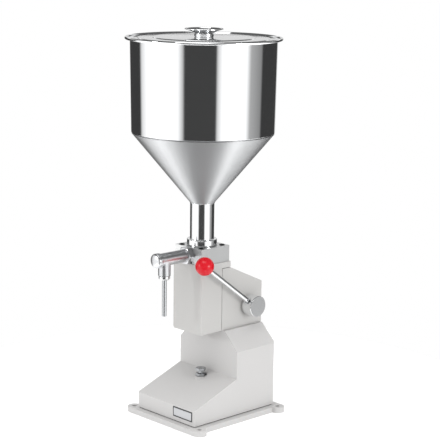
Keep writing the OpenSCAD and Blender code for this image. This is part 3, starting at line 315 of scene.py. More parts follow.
@dataclass(frozen=True)
class Palette:
    """Every finish of the machine. The comments say what each gives the eye."""

    # A near mirror, so the studio's dark panels show as crisp bands
    bowl: Metal = Metal("polished_304_sheet_bowl", roughness=0.05, smear=0.03, line_mm=1.4, line_depth_mm=0.0006)
    # Satin, with highlights that spinning draws out into fans
    cone: Metal = Metal("satin_304_sheet_cone", "#b8b9ba", 0.56, 0.05, 0.8, 0.002, spun=0.9)
    # A mirror with faint rings
    lid: Metal = Metal(
        "polished_304_pressed_lid", roughness=0.09, smear=0.04, line_mm=1.2, line_depth_mm=0.0006, rings=True
    )
    # Bright and clear, with close lines left by turning
    turned: Metal = Metal("polished_304_turned_bar", roughness=0.11, smear=0.04, line_mm=0.7)
    # Long blurred highlights over faint lines round the tube
    tube: Metal = Metal("polished_304_tube", "#cccdcf", 0.27, 0.04, 0.7, lines=Direction.Y)
    # A faced end with fine rings, its steel colour raised well above bare stainless so that its reflections read
    # brighter: painted light
    hub: Metal = Metal("faced_304_bar_hub_brightened", "#f2f3f4", 0.17, 0.06, 0.6, 0.002, Direction.X, (0.0, 69.5, 204.5), True)
    # Even, soft grey of a milled face
    block: Metal = Metal("milled_304_block", "#dcdddd", 0.30, 0.08, 0.9, 0.004)
    # Darker ground shafts, then the dull milled rocker
    ground: Metal = Metal("ground_shaft_steel", "#b4b6b8", 0.22, 0.06, 0.5, 0.002, Direction.X)
    machined: Metal = Metal("milled_carbon_steel", "#85888b", 0.36, 0.10, 0.9, 0.006, Direction.Y)
    # Light grey of a drawn tube, then the darker hexagons
    drawn: Metal = Metal("drawn_304_tube", "#c9cbcd", 0.20, 0.05, 0.5, 0.002)
    hexagon: Metal = Metal("turned_304_hexagon", "#a2a4a6", 0.20, 0.08, 0.6, 0.002)
    # Cool blurred grey of plated screws, then of spring wire
    zinc: Metal = Metal("bright_zinc_plate", "#9a9da0", 0.24, 0.10, 0.8, 0.002)
    spring: Metal = Metal("drawn_302_wire", "#9a9c9e", 0.28, 0.06, 0.3, 0.001)
    # Near black with a dull sheen
    oxide: Metal = Metal("black_oxide_steel", "#2c2d2f", 0.34, 0.08, 0.5, 0.002)
    # Dull brown of oiled bronze, then yellow brass
    bronze: Metal = Metal("sintered_bronze", "#b38d57", 0.42, 0.10, 0.4, 0.004, Direction.X)
    brass: Metal = Metal("turned_brass", "#c9a25c", 0.26, 0.06, 0.4, 0.003)
    # Soft grey of a brushed plate
    plate: Metal = Metal("brushed_aluminium_plate", "#b9babc", 0.30, 0.10, 0.35, 0.003)
    # Satin light grey, then the slightly paler base
    coat: PowderCoat = PowderCoat("light_grey_powder_coat", "#acaba9")
    base_coat: PowderCoat = PowderCoat("pale_grey_powder_coat", "#b2b1b0")
    # Deep red under gloss, then the black border of the bare plate
    red: Moulded = Moulded("red_phenolic_resin", "#bd061a", 0.26, 1.40)
    enamel: Moulded = Moulded("black_enamel", "#202022", 0.30)
    # Ivory acetal, milky silicone and matt black rubber
    acetal: Moulded = Moulded("turned_white_acetal", "#eceae4", 0.38)
    silicone: Moulded = Moulded("white_food_silicone", "#e6e5e1", 0.55, grain_depth_mm=0.01)
    nitrile: Moulded = Moulded("black_nitrile_rubber", "#1c1c1d", 0.6, grain_depth_mm=0.01)


class Finishes:
    """Makes each finish the first time that a piece asks for it."""

    def __init__(self, palette: Palette) -> None:
        """Keep the palette; nothing is made yet."""
        self.palette = palette
        self.made: dict[str, bpy.types.Material] = {}

    def __getitem__(self, key: str) -> bpy.types.Material:
        """Give the material of a palette entry.

        Args:
            key: Name of the entry.

        Returns:
            Its material, made once.
        """
        if key not in self.made:
            self.made[key] = getattr(self.palette, key).make()
        return self.made[key]


def rounded(points: Sequence[tuple[float, float, float]], steps: int = 5) -> list[tuple[float, float]]:
    """Round the corners of a path of radius and height.

    Args:
        points: Radius, height and corner radius of each point. The ends take no corner.
        steps: Segments in each rounded corner.

    Returns:
        The path with an arc in place of each corner that has a radius.
    """
    path: list[tuple[float, float]] = []
    for i, (x, z, r) in enumerate(points):
        if r <= 0 or i in (0, len(points) - 1):
            path.append((x, z))
            continue
        here = Vector((x, z))
        a = (Vector(points[i - 1][:2]) - here).normalized()
        b = (Vector(points[i + 1][:2]) - here).normalized()
        half = math.acos(max(-1.0, min(1.0, a.dot(b)))) / 2
        centre = here + (a + b).normalized() * r / math.sin(half)
        first = here + a * r / math.tan(half) - centre
        last = here + b * r / math.tan(half) - centre
        for k in range(steps + 1):
            t = k / steps
            spread = math.pi - 2 * half
            bend = (first * math.sin((1 - t) * spread) + last * math.sin(t * spread)) / math.sin(spread)
            path.append(tuple(centre + bend))
    return path


def arc(x: float, z: float, r: float, start: float, end: float, steps: int = 10) -> list[tuple[float, float]]:
    """Give the points of an arc in degrees, for a lathe path."""
    turns = [math.radians(start + (end - start) * i / steps) for i in range(steps + 1)]
    return [(x + r * math.cos(t), z + r * math.sin(t)) for t in turns]


def stand(bm: BMesh, centre: Sequence[float], axis: Direction) -> None:
    """Move a shape that runs along +Z to its own axis, with its faces outward.

    Args:
        bm: The shape, changed in place.
        centre: Where its origin goes, in millimetres.
        axis: Direction that +Z turns to.
    """
    turn = Vector((0, 0, 1)).rotation_difference(Vector(axis.value)).to_matrix().to_4x4()
    bmesh.ops.transform(bm, matrix=Matrix.Translation(Vector(centre) * MM) @ turn, verts=bm.verts)
    bmesh.ops.recalc_face_normals(bm, faces=bm.faces)


def lathe(
    path: Sequence[tuple[float, float]], centre: Sequence[float], axis: Direction = Direction.Z, steps: int = 96,
    closed: bool = True,
) -> BMesh:
    """Turn a path of radius and height about an axis.

    Args:
        path: Radius and height of each point in millimetres, height along the axis.
        centre: Point on the axis where the height is nought, in millimetres.
        axis: Direction of the axis.
        steps: Segments in the full turn.
        closed: Whether the path's last point joins its first.

    Returns:
        A bmesh in metres, in place.
    """
    bm = bmesh.new()
    verts = [bm.verts.new((r * MM, 0, z * MM)) for r, z in path]
    pairs = list(zip(verts, verts[1:])) + ([(verts[-1], verts[0])] if closed and path[0] != path[-1] else [])
    edges = [bm.edges.new(pair) for pair in pairs if pair[0].co != pair[1].co]
    bmesh.ops.spin(bm, geom=verts + edges, cent=(0, 0, 0), axis=(0, 0, 1), angle=TURN, steps=steps, use_merge=True)
    bmesh.ops.remove_doubles(bm, verts=bm.verts, dist=SEAM)
    stand(bm, centre, axis)
    return bm


def piece(name: str, bm: BMesh, material: bpy.types.Material, sharp: float = 32.0) -> bpy.types.Object:
    """Turn a bmesh into an object at the origin.

    Args:
        name: Name of the piece.
        bm: The finished bmesh, in place. It is freed.
        material: Finish of the whole piece.
        sharp: Degrees past which an edge stays crisp.

    Returns:
        The linked object.
    """
    mesh = bpy.data.meshes.new(name)
    bm.to_mesh(mesh)
    bm.free()
    mesh.materials.append(material)
    mesh.polygons.foreach_set("use_smooth", [True] * len(mesh.polygons))
    mesh.set_sharp_from_angle(angle=math.radians(sharp))
    made = bpy.data.objects.new(name, mesh)
    bpy.context.scene.collection.objects.link(made)
    return made


def eased(made: bpy.types.Object, width: float, segments: int = 3, limit: float = 30.0) -> bpy.types.Object:
    """Ease the sharp edges of a piece with a live bevel.

    Args:
        made: The piece.
        width: Width of the bevel in millimetres.
        segments: Segments across the bevel.
        limit: Degrees past which an edge is eased.

    Returns:
        The same piece.
    """
    bevel = made.modifiers.new("eased_edges", "BEVEL")
    bevel.width = width * MM
    bevel.segments = segments
    bevel.profile = 0.5
    bevel.limit_method = "ANGLE"
    bevel.angle_limit = math.radians(limit)
    bevel.harden_normals = True
    bevel.miter_outer = "MITER_ARC"
    return made


def cleaned_copy(node: bpy.types.Object, flat: float = 0.6) -> BMesh:
    """Copy a CAD node as a bmesh with merged corners and whole flat faces.

    Args:
        node: The CAD node's object.
        flat: Degrees under which neighbouring faces count as one.

    Returns:
        The copy, in place.
    """
    bm = bmesh.new()
    bm.from_mesh(node.data)
    bmesh.ops.remove_doubles(bm, verts=bm.verts, dist=LOOSE)
    bmesh.ops.dissolve_limit(bm, angle_limit=math.radians(flat), verts=bm.verts, edges=bm.edges)
    return bm


def tighten(bm: BMesh, corners: Iterable[tuple[float, float]], old: float, new: float) -> None:
    """Give rounded upright corners a smaller radius, with their flat sides kept.

    Args:
        bm: Mesh whose corners change, in place.
        corners: Places of the sharp corners seen from above, in millimetres.
        old: Corner radius now.
        new: Corner radius after it.
    """
    for x, y in corners:
        side = Vector((math.copysign(1, x), math.copysign(1, y - AXIS_Y)))
        corner = Vector((x, y))
        before, after = (corner - side * old) * MM, (corner - side * new) * MM
        for v in bm.verts:
            arm = v.co.xy - before
            outward = min(arm.x * side.x, arm.y * side.y) >= -OFF_SIDE
            if outward and abs(arm.length - old * MM) < OFF_ARC:
                v.co.xy = after + arm * new / old


@dataclass
class Workshop:
    """What every sub-assembly needs to build its pieces."""

    frame: dict
    finishes: Finishes
    pieces: list[str] = field(default_factory=list)

    def place(
        self, name: str, bm: BMesh, finish: str, body: str, slot: str, *nodes: str, sharp: float = 32.0
    ) -> bpy.types.Object:
        """Turn a shape into a piece that rides on its body and stands for CAD nodes.

        Args:
            name: Name of the piece.
            bm: Its shape, in place.
            finish: Palette entry of the finish.
            body: CAD body that it moves with.
            slot: Material slot of the record; not used.
            *nodes: CAD nodes that it replaces.
            sharp: Degrees past which an edge stays crisp.

        Returns:
            The piece.
        """
        made = piece(name, bm, self.finishes[finish], sharp)
        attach(made, body)
        if nodes:
            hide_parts(*nodes)
        self.pieces.append(made.name)
        LOG.info("%s rides on %s", made.name, body)
        return made

    def dress(self, finish: str, *nodes: str) -> None:
        """Give CAD nodes that keep their shape a finish of the palette.

        Args:
            finish: Palette entry of the finish.
            *nodes: The CAD nodes.
        """
        for node in nodes:
            slots = self.frame["nodes"][node].material_slots
            for one in slots:
                one.material = self.finishes[finish]
            LOG.info("%s keeps its CAD shape", node)

    def ease_node(
        self, node: str, name: str, body: str, slot: str, finish: str, width: float, segments: int = 3,
        flat: float = 0.6, corners: Sequence[tuple[float, float]] = (), radii: tuple[float, float] = (1.0, 1.0),
    ) -> bpy.types.Object:
        """Replace a CAD node by a copy with eased edges.

        Args:
            node: CAD node to copy.
            name: Name of the new piece.
            body: CAD body that it moves with.
            slot: Material slot of the record.
            finish: Palette entry of the finish.
            width: Width of the eased edge in millimetres.
            segments: Segments across the edge.
            flat: Degrees under which neighbouring faces count as one.
            corners: Upright corners that are tightened, seen from above.
            radii: Radius of those corners before and after.

        Returns:
            The new piece.
        """
        bm = cleaned_copy(self.frame["nodes"][node], flat)
        tighten(bm, corners, *radii)
        return eased(self.place(name, bm, finish, body, slot, node), width, segments)


@dataclass
class Hopper:
    """Bowl, cone and neck of the hopper, with the union nut under it."""

    rim_r: float = 142.43
    rim_z: float = 705.4
    bead_r: float = 2.7
    bowl_r: float = 133.0
    foot_r: float = 130.5
    joint_z: float = 532.9
    throat_z: float = 403.9
    neck_r: float = 22.25
    sheet: float = 1.2
    turn: float = 2.2
    weld_r: float = 0.7
    foot_z: float = 331.0
    nut_r: float = 28.0
    nut_low: float = 324.9
    nut_h: float = 11.6

    def bowl(self) -> BMesh:
        """Spin the bowl with its rolled bead.

        Returns:
            The bowl, in place.
        """
        bead_x, bead_z = self.rim_r - self.bead_r, self.rim_z - self.bead_r
        low = self.joint_z + 0.15
        inner, foot, t = self.bowl_r - self.sheet, self.foot_r, self.sheet
        bead_in = bead_x - self.bead_r
        outside = rounded(
            [(foot - 2.5, low, 0), (foot, low + 1.6, 0.6), (self.bowl_r, bead_z - self.turn, 1.2),
             (bead_in + 0.2, bead_z - 1.2, 0)]
        )
        bead = arc(bead_x, bead_z, self.bead_r, 200, 510, 30)
        inside = rounded(
            [(bead_in - 0.3, bead_z - 0.25, 0), (inner, bead_z - self.turn + t, 1.2), (foot - t, low + 2, 1),
             (foot - t - 2.5, low + 0.9, 0)]
        )
        return lathe(outside + bead + inside, (0, AXIS_Y, 0), steps=FINE)

    def cone(self) -> BMesh:
        """Spin the cone between bowl and neck.

        Returns:
            The cone, in place.
        """
        s, edge = self.sheet, self.foot_r - 1.2
        path = [
            (self.neck_r + 0.4, self.throat_z), (self.foot_r - 0.9, self.joint_z - 0.9), (edge, self.joint_z + 0.3),
            (edge - s, self.joint_z + 0.3), (self.neck_r - s, self.throat_z + 1.1), (self.neck_r - s, self.throat_z),
        ]
        return lathe(path, (0, AXIS_Y, 0), steps=FINE)

    def neck(self) -> BMesh:
        """Spin the neck tube with the weld under the cone.

        Returns:
            The neck, in place.
        """
        r, z = self.neck_r, self.throat_z
        weld = arc(r, z - 0.3, self.weld_r, -80, 70, 6)
        path = [(r, self.foot_z), *weld, (r - self.sheet, z + 0.5), (r - self.sheet, self.foot_z)]
        return lathe(path, (0, AXIS_Y, 0), steps=96)

    def union_nut(self) -> BMesh:
        """Spin the union nut with eased corners and a low collar round its foot.

        Returns:
            The nut, in place.
        """
        r, low, top = self.nut_r, self.nut_low, self.nut_low + self.nut_h
        outside = rounded(
            [(r - 2.6, low, 0), (r, low, 0.9), (r, low + 1.5, 0), (r - 0.35, low + 1.9, 0), (r - 0.35, top, 1.1),
             (self.neck_r + 0.35, top, 0)], 4
        )
        return lathe([*outside, (self.neck_r + 0.35, top - 3.2), (r - 2.6, top - 3.2)], (0, AXIS_Y, 0), steps=96)

    def build(self, shop: Workshop) -> None:
        """Build and mount the hopper's pieces.

        Args:
            shop: Where the pieces go.
        """
        shop.place("hopper_bowl", self.bowl(), "bowl", "frame", STEEL, "hopper")
        shop.place("hopper_cone", self.cone(), "cone", "frame", STEEL, "hopper")
        shop.place("hopper_neck", self.neck(), "turned", "frame", STEEL, "hopper")
        shop.place("union_nut_turned", self.union_nut(), "turned", "frame", STEEL, "union_nut")
        shop.dress("silicone", "union_seal")


@dataclass
class Lid:
    """Pressed lid with its turned knob."""

    edge_r: float = 135.2
    edge_z: float = 702.6
    step_r: float = 119.0
    step_h: float = 1.0
    ring_r: float = 92.0
    ring_h: float = 1.4
    step_slope: float = 0.9
    ring_slope: float = 1.2
    sheet: float = 1.2
    skirt_r: float = 130.8
    skirt_h: float = 8.0
    knob_top: float = 720.0
    knob_r: float = 35.0
    knob_neck_r: float = 17.5
    knob_lip: float = 1.2

    def pan(self) -> BMesh:
        """Spin the pressed lid, its two ring steps and the skirt inside the bowl.

        Returns:
            The lid, in place.
        """
        z0, z1, z2, t = self.edge_z, self.edge_z + self.step_h, self.edge_z + self.step_h + self.ring_h, self.sheet
        step, ring = self.step_slope, self.ring_slope
        top = rounded(
            [(0, z2, 0), (self.ring_r, z2, 2.2), (self.ring_r + ring, z1, 1.6), (self.step_r, z1, 0.8),
             (self.step_r + step, z0, 0.7), (self.edge_r, z0, 0.4), (self.edge_r, z0 - t, 0)], 4
        )
        back = [
            (self.skirt_r, z0 - t), (self.skirt_r, z0 - self.skirt_h), (self.skirt_r - t, z0 - self.skirt_h),
            (self.skirt_r - t, z0 - t), (self.step_r + step - 1, z0 - t), (self.step_r - 1, z1 - t),
            (self.ring_r + ring - 1, z1 - t), (self.ring_r - 1, z2 - t), (0, z2 - t),
        ]
        return lathe(top + back, (0, AXIS_Y, 0), steps=FINE, closed=False)

    def knob(self) -> BMesh:
        """Spin the knob: a short neck that flares into a thin disc with a dished top.

        Returns:
            The knob, in place.
        """
        low = self.edge_z + self.step_h + self.ring_h
        rise = self.knob_top - low
        neck, edge = self.knob_neck_r, self.knob_r
        neck_top = rise * 0.42
        flare = []
        for i in range(13):
            a = math.radians(90 * i / 12)
            up = neck_top + (rise - self.knob_lip - neck_top) * (1 - math.cos(a))
            flare.append((edge - (edge - neck) * math.cos(a), up))
        rim = [(edge, rise - 0.4), (edge - 0.35, rise)]
        angles = [math.radians(a) for a in range(0, 91, 6)]
        dish = [((edge - self.knob_lip) * math.cos(a), rise - rise * 0.45 * math.sin(a)) for a in angles]
        path = [(0, 0), (neck - 1, 0), (neck, 1.0), *flare, *rim, *dish]
        return lathe(path, (0, AXIS_Y, low), steps=96, closed=False)

    def build(self, shop: Workshop) -> None:
        """Build and mount the lid's pieces.

        Args:
            shop: Where the pieces go.
        """
        shop.place("lid_pressing", self.pan(), "lid", "lid", STEEL, "lid")
        shop.place("lid_knob_turned", self.knob(), "turned", "lid", STEEL, "lid_knob", sharp=40)
        shop.dress("zinc", "lid_knob_screw")


@dataclass
class ValveBlock:
    """Milled block with its socket screws."""

    edge: float = 0.6
    head_r: float = 5.0
    head_top: float = 325.8
    head_low: float = 321.0
    socket_r: float = 2.9
    socket_depth: float = 3.0
    place: float = 26.0
    steps: int = 48
    flute: float = 0.975
    ease: float = 0.5
    ease_h: float = 0.45

    def head(self, x: float, y: float) -> BMesh:
        """Shape one socket head, with an eased top and a hexagon socket.

        Alternate points of its side are drawn in a little for shallow flutes, the same at the foot as at the top.

        Args:
            x: Place of the screw along X.
            y: Place of the screw along Y.

        Returns:
            The head, in place.
        """
        bm = bmesh.new()
        rim = bmesh.ops.create_circle(bm, cap_ends=True, segments=self.steps, radius=self.head_r * MM)
        grown = bmesh.ops.extrude_face_region(bm, geom=list(bm.faces))
        top = [v for v in grown["geom"] if isinstance(v, bmesh.types.BMVert)]
        bmesh.ops.translate(bm, vec=(0, 0, (self.head_top - self.head_low) * MM), verts=top)
        for i, v in enumerate(rim["verts"] + top):
            if v.index % 2 or i % 2:
                v.co.xy *= self.flute
        cap = max(bm.faces, key=lambda f: (len(f.verts) > 6, f.calc_center_median().z))
        bmesh.ops.inset_region(bm, faces=[cap], thickness=self.ease * MM, depth=self.ease_h * MM)
        bmesh.ops.inset_region(bm, faces=[cap], thickness=(self.head_r - self.ease - self.socket_r) * MM)
        for v in cap.verts:
            angle = math.atan2(v.co.y, v.co.x) % (TURN / 6)
            v.co.xy = v.co.xy.normalized() * self.socket_r * MM * math.cos(TURN / 12) / math.cos(angle - TURN / 12)
        sunk = bmesh.ops.extrude_discrete_faces(bm, faces=[cap])["faces"][0]
        bmesh.ops.translate(bm, vec=(0, 0, -self.socket_depth * MM), verts=sunk.verts)
        bmesh.ops.translate(bm, vec=(x * MM, (AXIS_Y + y) * MM, (self.head_low - self.ease_h) * MM), verts=bm.verts)
        bmesh.ops.recalc_face_normals(bm, faces=bm.faces)
        return bm

    def build(self, shop: Workshop) -> None:
        """Build and mount the block and the heads of its screws.

        Args:
            shop: Where the pieces go.
        """
        shop.ease_node("valve_block", "valve_block_milled", "frame", "brushed_stainless", "block", self.edge, 2)
        for i, (x, y) in enumerate((x, y) for x in (-1, 1) for y in (-1, 1)):
            head = self.head(x * self.place, y * self.place)
            shop.place(f"block_screw_head_{i + 1}", head, "oxide", "frame", "black_steel", "block_screws")


@dataclass
class Outlet:
    """Outlet tube with its lock nut, end cap, nozzle nut and nozzle."""

    z: float = 309.5
    tube_front: float = -119.0
    cap_r: float = 13.5
    cap_l: float = 8.0
    dome: float = 4.5
    nozzle_y: float = -106.5
    nozzle_r: float = 4.25
    nozzle_shank: float = 3.8
    nozzle_bore: float = 3.25
    nozzle_tip: float = 204.3
    nozzle_top: float = 288.3
    nut_r: float = 10.5
    nut_top: float = 279.3
    nut_h: float = 7.0
    nut_cone: float = 2.5

    def cap(self) -> BMesh:
        """Spin the cap: a rim with an eased foot and a flat dome.

        Returns:
            The cap, in place.
        """
        angles = [math.radians(a) for a in range(8, 91, 6)]
        dome = [(self.cap_r * math.cos(a), self.cap_l + self.dome * math.sin(a)) for a in angles]
        rim = rounded([(9.0, 0, 0), (self.cap_r, 0, 0.8), (self.cap_r, self.cap_l, 0)], 4)
        path = [(0, 0), *rim, *dome, (0, self.cap_l + self.dome)]
        return lathe(path, (0, self.tube_front, self.z), Direction.FRONT, 72, closed=False)

    def nozzle(self) -> BMesh:
        """Spin the thin nozzle tube with an eased mouth.

        Returns:
            The tube, in place.
        """
        r, b, k, tip = self.nozzle_r, self.nozzle_bore, self.nozzle_shank, self.nozzle_tip
        shoulder = self.nut_top - self.nut_h - 0.3
        path = [(k, self.nozzle_top), (k, shoulder), (r, shoulder), (r, tip + 0.3), (r - 0.3, tip), (b + 0.2, tip),
                (b, tip + 0.2), (b, self.nozzle_top)]
        return lathe(path, (0, self.nozzle_y, 0), steps=48)

    def nozzle_nut(self) -> BMesh:
        """Spin the nozzle nut with its lower cone.

        Returns:
            The nut, in place.
        """
        r, low, top = self.nut_r, self.nut_top - self.nut_h, self.nut_top
        bore, cone = self.nozzle_shank + 0.1, self.nut_cone
        path = rounded(
            [(bore, low, 0), (r - cone, low, 0.4), (r, low + cone, 0.5), (r, top, 0.6), (bore, top, 0)], 4
        )
        return lathe(path, (0, self.nozzle_y, 0), steps=72)

    def build(self, shop: Workshop) -> None:
        """Build and mount the outlet's pieces.

        Args:
            shop: Where the pieces go.
        """
        shop.ease_node("outlet_tube", "outlet_tube_welded", "frame", STEEL, "tube", 0.7, 3, 0.2)
        shop.ease_node("outlet_lock_nut", "outlet_lock_nut_turned", "frame", "brushed_stainless", "tube", 0.3, 2, 0.2)
        shop.place("outlet_cap_turned", self.cap(), "tube", "frame", STEEL, "outlet_cap")
        shop.place("nozzle_nut_turned", self.nozzle_nut(), "turned", "frame", "brushed_stainless", "nozzle_nut")
        shop.place("nozzle_tube_drawn", self.nozzle(), "drawn", "frame", STEEL, "nozzle_tube")
        shop.dress("nitrile", "nozzle_seal", "cap_seal")


@dataclass
class Housings:
    """Front and rear housing over the rocker mechanism."""

    edge: float = 0.5
    half_w: float = 38.75
    front: float = 36.0
    back: float = 120.5
    radii: tuple[float, float] = (6.0, 2.6)

    def build(self, shop: Workshop) -> None:
        """Build and mount both housings.

        Args:
            shop: Where the pieces go.
        """
        for node, y in (("front_housing", AXIS_Y - self.front), ("rear_housing", AXIS_Y + self.back)):
            corners = [(-self.half_w, y), (self.half_w, y)]
            shop.ease_node(
                node, f"{node}_coated", "frame", "light_grey_paint", "coat", self.edge, 3, 0.2, corners, self.radii
            )


@dataclass
class Base:
    """Folded base shell on its plate, with a bare name plate on the lip."""

    bend: float = 0.8
    half_w: float = 78.0
    half_l: float = 101.5
    radii: tuple[float, float] = (4.0, 1.6)
    plate_edge: float = 1.6
    lip_y: float = -101.5
    label_x: tuple[float, float] = (20.0, 72.0)
    label_z: tuple[float, float] = (19.0, 38.0)
    label_t: float = 0.6
    label_border: float = 2.4
    label_corner: float = 1.2

    def label(self, inset: float, foot: float) -> BMesh:
        """Shape one layer of the bare plate on the lip, with rounded corners and a slightly sunk middle.

        Args:
            inset: How far the layer stays inside the plate's outline, in millimetres.
            foot: How far the layer starts in front of the lip, in millimetres.

        Returns:
            The layer, in place.
        """
        bm = bmesh.new()
        (x0, x1), (z0, z1) = ((low + inset, high - inset) for low, high in (self.label_x, self.label_z))
        centre = Vector(((x0 + x1) / 2, self.lip_y - foot, (z0 + z1) / 2)) * MM
        bmesh.ops.create_grid(bm, x_segments=1, y_segments=1, size=0.5)
        bmesh.ops.scale(bm, vec=((x1 - x0) * MM, (z1 - z0) * MM, 1), verts=bm.verts)
        bmesh.ops.bevel(
            bm, geom=list(bm.verts), offset=self.label_corner * MM, segments=4, profile=0.5, affect="VERTICES",
            material=-1,
        )
        face = bm.faces[:][0]
        grown = bmesh.ops.extrude_face_region(bm, geom=[face])
        top = [f for f in grown["geom"] if isinstance(f, bmesh.types.BMFace)][0]
        bmesh.ops.translate(bm, vec=(0, 0, self.label_t / 2 * MM), verts=top.verts)
        bmesh.ops.inset_region(bm, faces=[top], thickness=0.9 * MM)
        bmesh.ops.inset_region(bm, faces=[top], thickness=0.2 * MM, depth=-0.15 * MM)
        upright = Matrix.Translation(centre) @ Matrix.Rotation(math.radians(90), 4, "X")
        bmesh.ops.transform(bm, matrix=upright, verts=bm.verts)
        bmesh.ops.recalc_face_normals(bm, faces=bm.faces)
        return bm

    def build(self, shop: Workshop) -> None:
        """Build and mount the base's pieces.

        Args:
            shop: Where the pieces go.
        """
        corners = [(x * self.half_w, y * self.half_l) for x in (-1, 1) for y in (-1, 1)]
        look = ("frame", "light_grey_paint", "base_coat")
        shop.ease_node("base_shell", "base_shell_folded", *look, self.bend, 3, 0.6, corners, self.radii)
        shop.ease_node("base_plate", "base_plate_coated", *look, self.plate_edge, 3, 0.2)
        shop.place("name_plate_border", self.label(0, 0), "enamel", "frame", "black_steel")
        bare = self.label(self.label_border, self.label_t / 2)
        shop.place("name_plate_bare", bare, "plate", "frame", "brushed_stainless")
        shop.dress("base_coat", "screw_boss")
        # The gasket sits in a real recess at the joint, and its black rubber also paints the dark shadow line there:
        # painted shade
        shop.dress("nitrile", "base_gasket")
        shop.dress("zinc", "base_screws", "housing_screws")


@dataclass
class StrokeScrew:
    """Hexagon screw that sets the stroke, with its lock nut."""

    edge: float = 0.25

    def build(self, shop: Workshop) -> None:
        """Build and mount the screw and its lock nut."""
        for node, name in (("stroke_screw", "stroke_screw_head"), ("stroke_lock_nut", "stroke_lock_nut_turned")):
            shop.ease_node(node, name, node, STEEL, "hexagon", self.edge, 2, 0.2)


@dataclass
class Lever:
    """Hub, rod and ball of the lever, in the plane of the rod."""

    rod_x: float = 53.25
    shaft_y: float = 69.5
    shaft_z: float = 204.5
    angle: float = 36.6
    length: float = 157.6
    rod_r: float = 4.5
    rod_start: float = 9.0
    ball_r: float = 17.0
    ball_flat: float = 0.93

    def out(self, bm: BMesh) -> BMesh:
        """Stand a lathe shape that runs along +Z from the shaft out along the rod.

        Args:
            bm: The shape.

        Returns:
            The same shape, in place.
        """
        turn = Matrix.Rotation(math.radians(90 - self.angle), 4, "X")
        place = Matrix.Translation(Vector((self.rod_x, self.shaft_y, self.shaft_z)) * MM)
        bmesh.ops.transform(bm, matrix=place @ turn, verts=bm.verts)
        return bm

    def rod(self) -> BMesh:
        """Spin the polished rod.

        Returns:
            The rod, in place.
        """
        start, end = self.rod_start, self.length - self.ball_r * 0.2
        path = [(0, start), (self.rod_r, start), (self.rod_r, end), (0, end)]
        return self.out(lathe(path, (0, 0, 0), steps=40, closed=False))

    def ball(self) -> BMesh:
        """Spin the ball with a small flat and an eased mouth where the rod enters.

        Returns:
            The ball, in place.
        """
        r = self.ball_r
        start = -math.degrees(math.asin(self.ball_flat))
        lip = r * math.cos(math.radians(start))
        skin = arc(0, 0, r, start, 90, 40)
        flat = -r * self.ball_flat
        path = [(self.rod_r + 0.1, flat + 1.2), (self.rod_r + 0.8, flat), (lip - 0.3, flat), *skin]
        return self.out(lathe(path, (0, 0, self.length), steps=80, closed=False))

    def build(self, shop: Workshop) -> None:
        """Build and mount the lever's pieces.

        Args:
            shop: Where the pieces go.
        """
        shop.ease_node("handle_hub", "lever_hub_faced", "handle", STEEL, "hub", 0.5, 3, 0.2)
        shop.place("lever_rod_polished", self.rod(), "turned", "handle", STEEL, "handle_rod")
        shop.place("lever_ball", self.ball(), "red", "handle", "red_phenolic", "ball_knob")
        shop.dress("brass", "ball_insert")
        shop.dress("oxide", "hub_set_screw", "shaft_clip")
        shop.dress("bronze", "shaft_bushes")
        shop.dress("ground", "main_shaft", "rocker_pin")
        shop.dress("machined", "rocker_arm")


@dataclass
class Springs:
    """Compression springs that close the two one-way valves."""

    wire: float = 1.2
    end_gap: float = 0.6
    ring: int = 24
    sides: int = 8
    inlet_r: float = 6.0
    inlet_turns: int = 4
    inlet_foot: float = 298.5
    inlet_h: float = 11.5
    inlet_travel: float = 4.0
    outlet_r: float = 5.4
    outlet_turns: int = 11
    outlet_foot: float = -113.0
    outlet_h: float = 66.5
    outlet_travel: float = 5.0

    def coil(self, r: float, h: float, turns: int, centre: Sequence[float], axis: Direction) -> BMesh:
        """Wind a spring with one closed turn at each end.

        Args:
            r: Radius of the wire's middle in millimetres.
            h: Free length in millimetres.
            turns: Full turns.
            centre: Middle of the spring's foot in millimetres.
            axis: Direction from the foot to the other end.

        Returns:
            The spring, in place.
        """
        bm = bmesh.new()
        steps, lead, total = turns * self.ring, self.wire + self.end_gap, h - self.wire
        rows = []
        for i in range(steps + 1):
            near, far = i / self.ring, (steps - i) / self.ring
            free = lead + (total - 2 * lead) * (near - 1) / (turns - 2)
            rise = lead * near if near <= 1 else total - lead * far if far <= 1 else free
            turn = TURN * near
            row = []
            for k in range(self.sides):
                b = TURN * k / self.sides
                q = r + self.wire / 2 * math.cos(b)
                z = self.wire / 2 + rise + self.wire / 2 * math.sin(b)
                row.append(bm.verts.new((q * math.cos(turn) * MM, q * math.sin(turn) * MM, z * MM)))
            rows.append(row)
        for one, two in zip(rows, rows[1:]):
            for k in range(self.sides):
                n = (k + 1) % self.sides
                bm.faces.new((one[k], two[k], two[n], one[n]))
        bm.faces.new(rows[0])
        bm.faces.new(reversed(rows[-1]))
        stand(bm, centre, axis)
        return bm

    def build(self, shop: Workshop) -> None:
        """Build and mount both springs, each with a mesh of its own.

        Args:
            shop: Where the pieces go.
        """
        wound = (
            ("inlet", self.inlet_r, self.inlet_h, self.inlet_turns, (0, AXIS_Y, self.inlet_foot), Direction.Z,
             self.inlet_travel),
            ("outlet", self.outlet_r, self.outlet_h, self.outlet_turns, (0, self.outlet_foot, Outlet.z), Direction.Y,
             self.outlet_travel),
        )
        for name, r, h, turns, foot, axis, travel in wound:
            coil = self.coil(r, h, turns, foot, axis)
            made = shop.place(
                f"{name}_spring_wound", coil, "spring", "frame", "spring_steel", f"{name}_spring", sharp=60
            )
            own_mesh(made)


@dataclass
class Innards:
    """Valves, piston and other pieces that the housings hide."""

    def build(self, shop: Workshop) -> None:
        """Give each hidden CAD node its finish.

        Args:
            shop: Where the pieces go.
        """
        shop.dress("acetal", "inlet_valve", "outlet_valve", "piston")
        shop.dress("nitrile", "cylinder_seal", "piston_rings")
        shop.dress("block", "piston_cylinder", "inlet_seat", "inlet_cage")
        shop.dress("bronze", "rod_guide")
        shop.dress("zinc", "piston_nut")
        shop.dress("ground", "piston_rod", "crosshead_pin")
        shop.dress("oxide", "pin_clips")


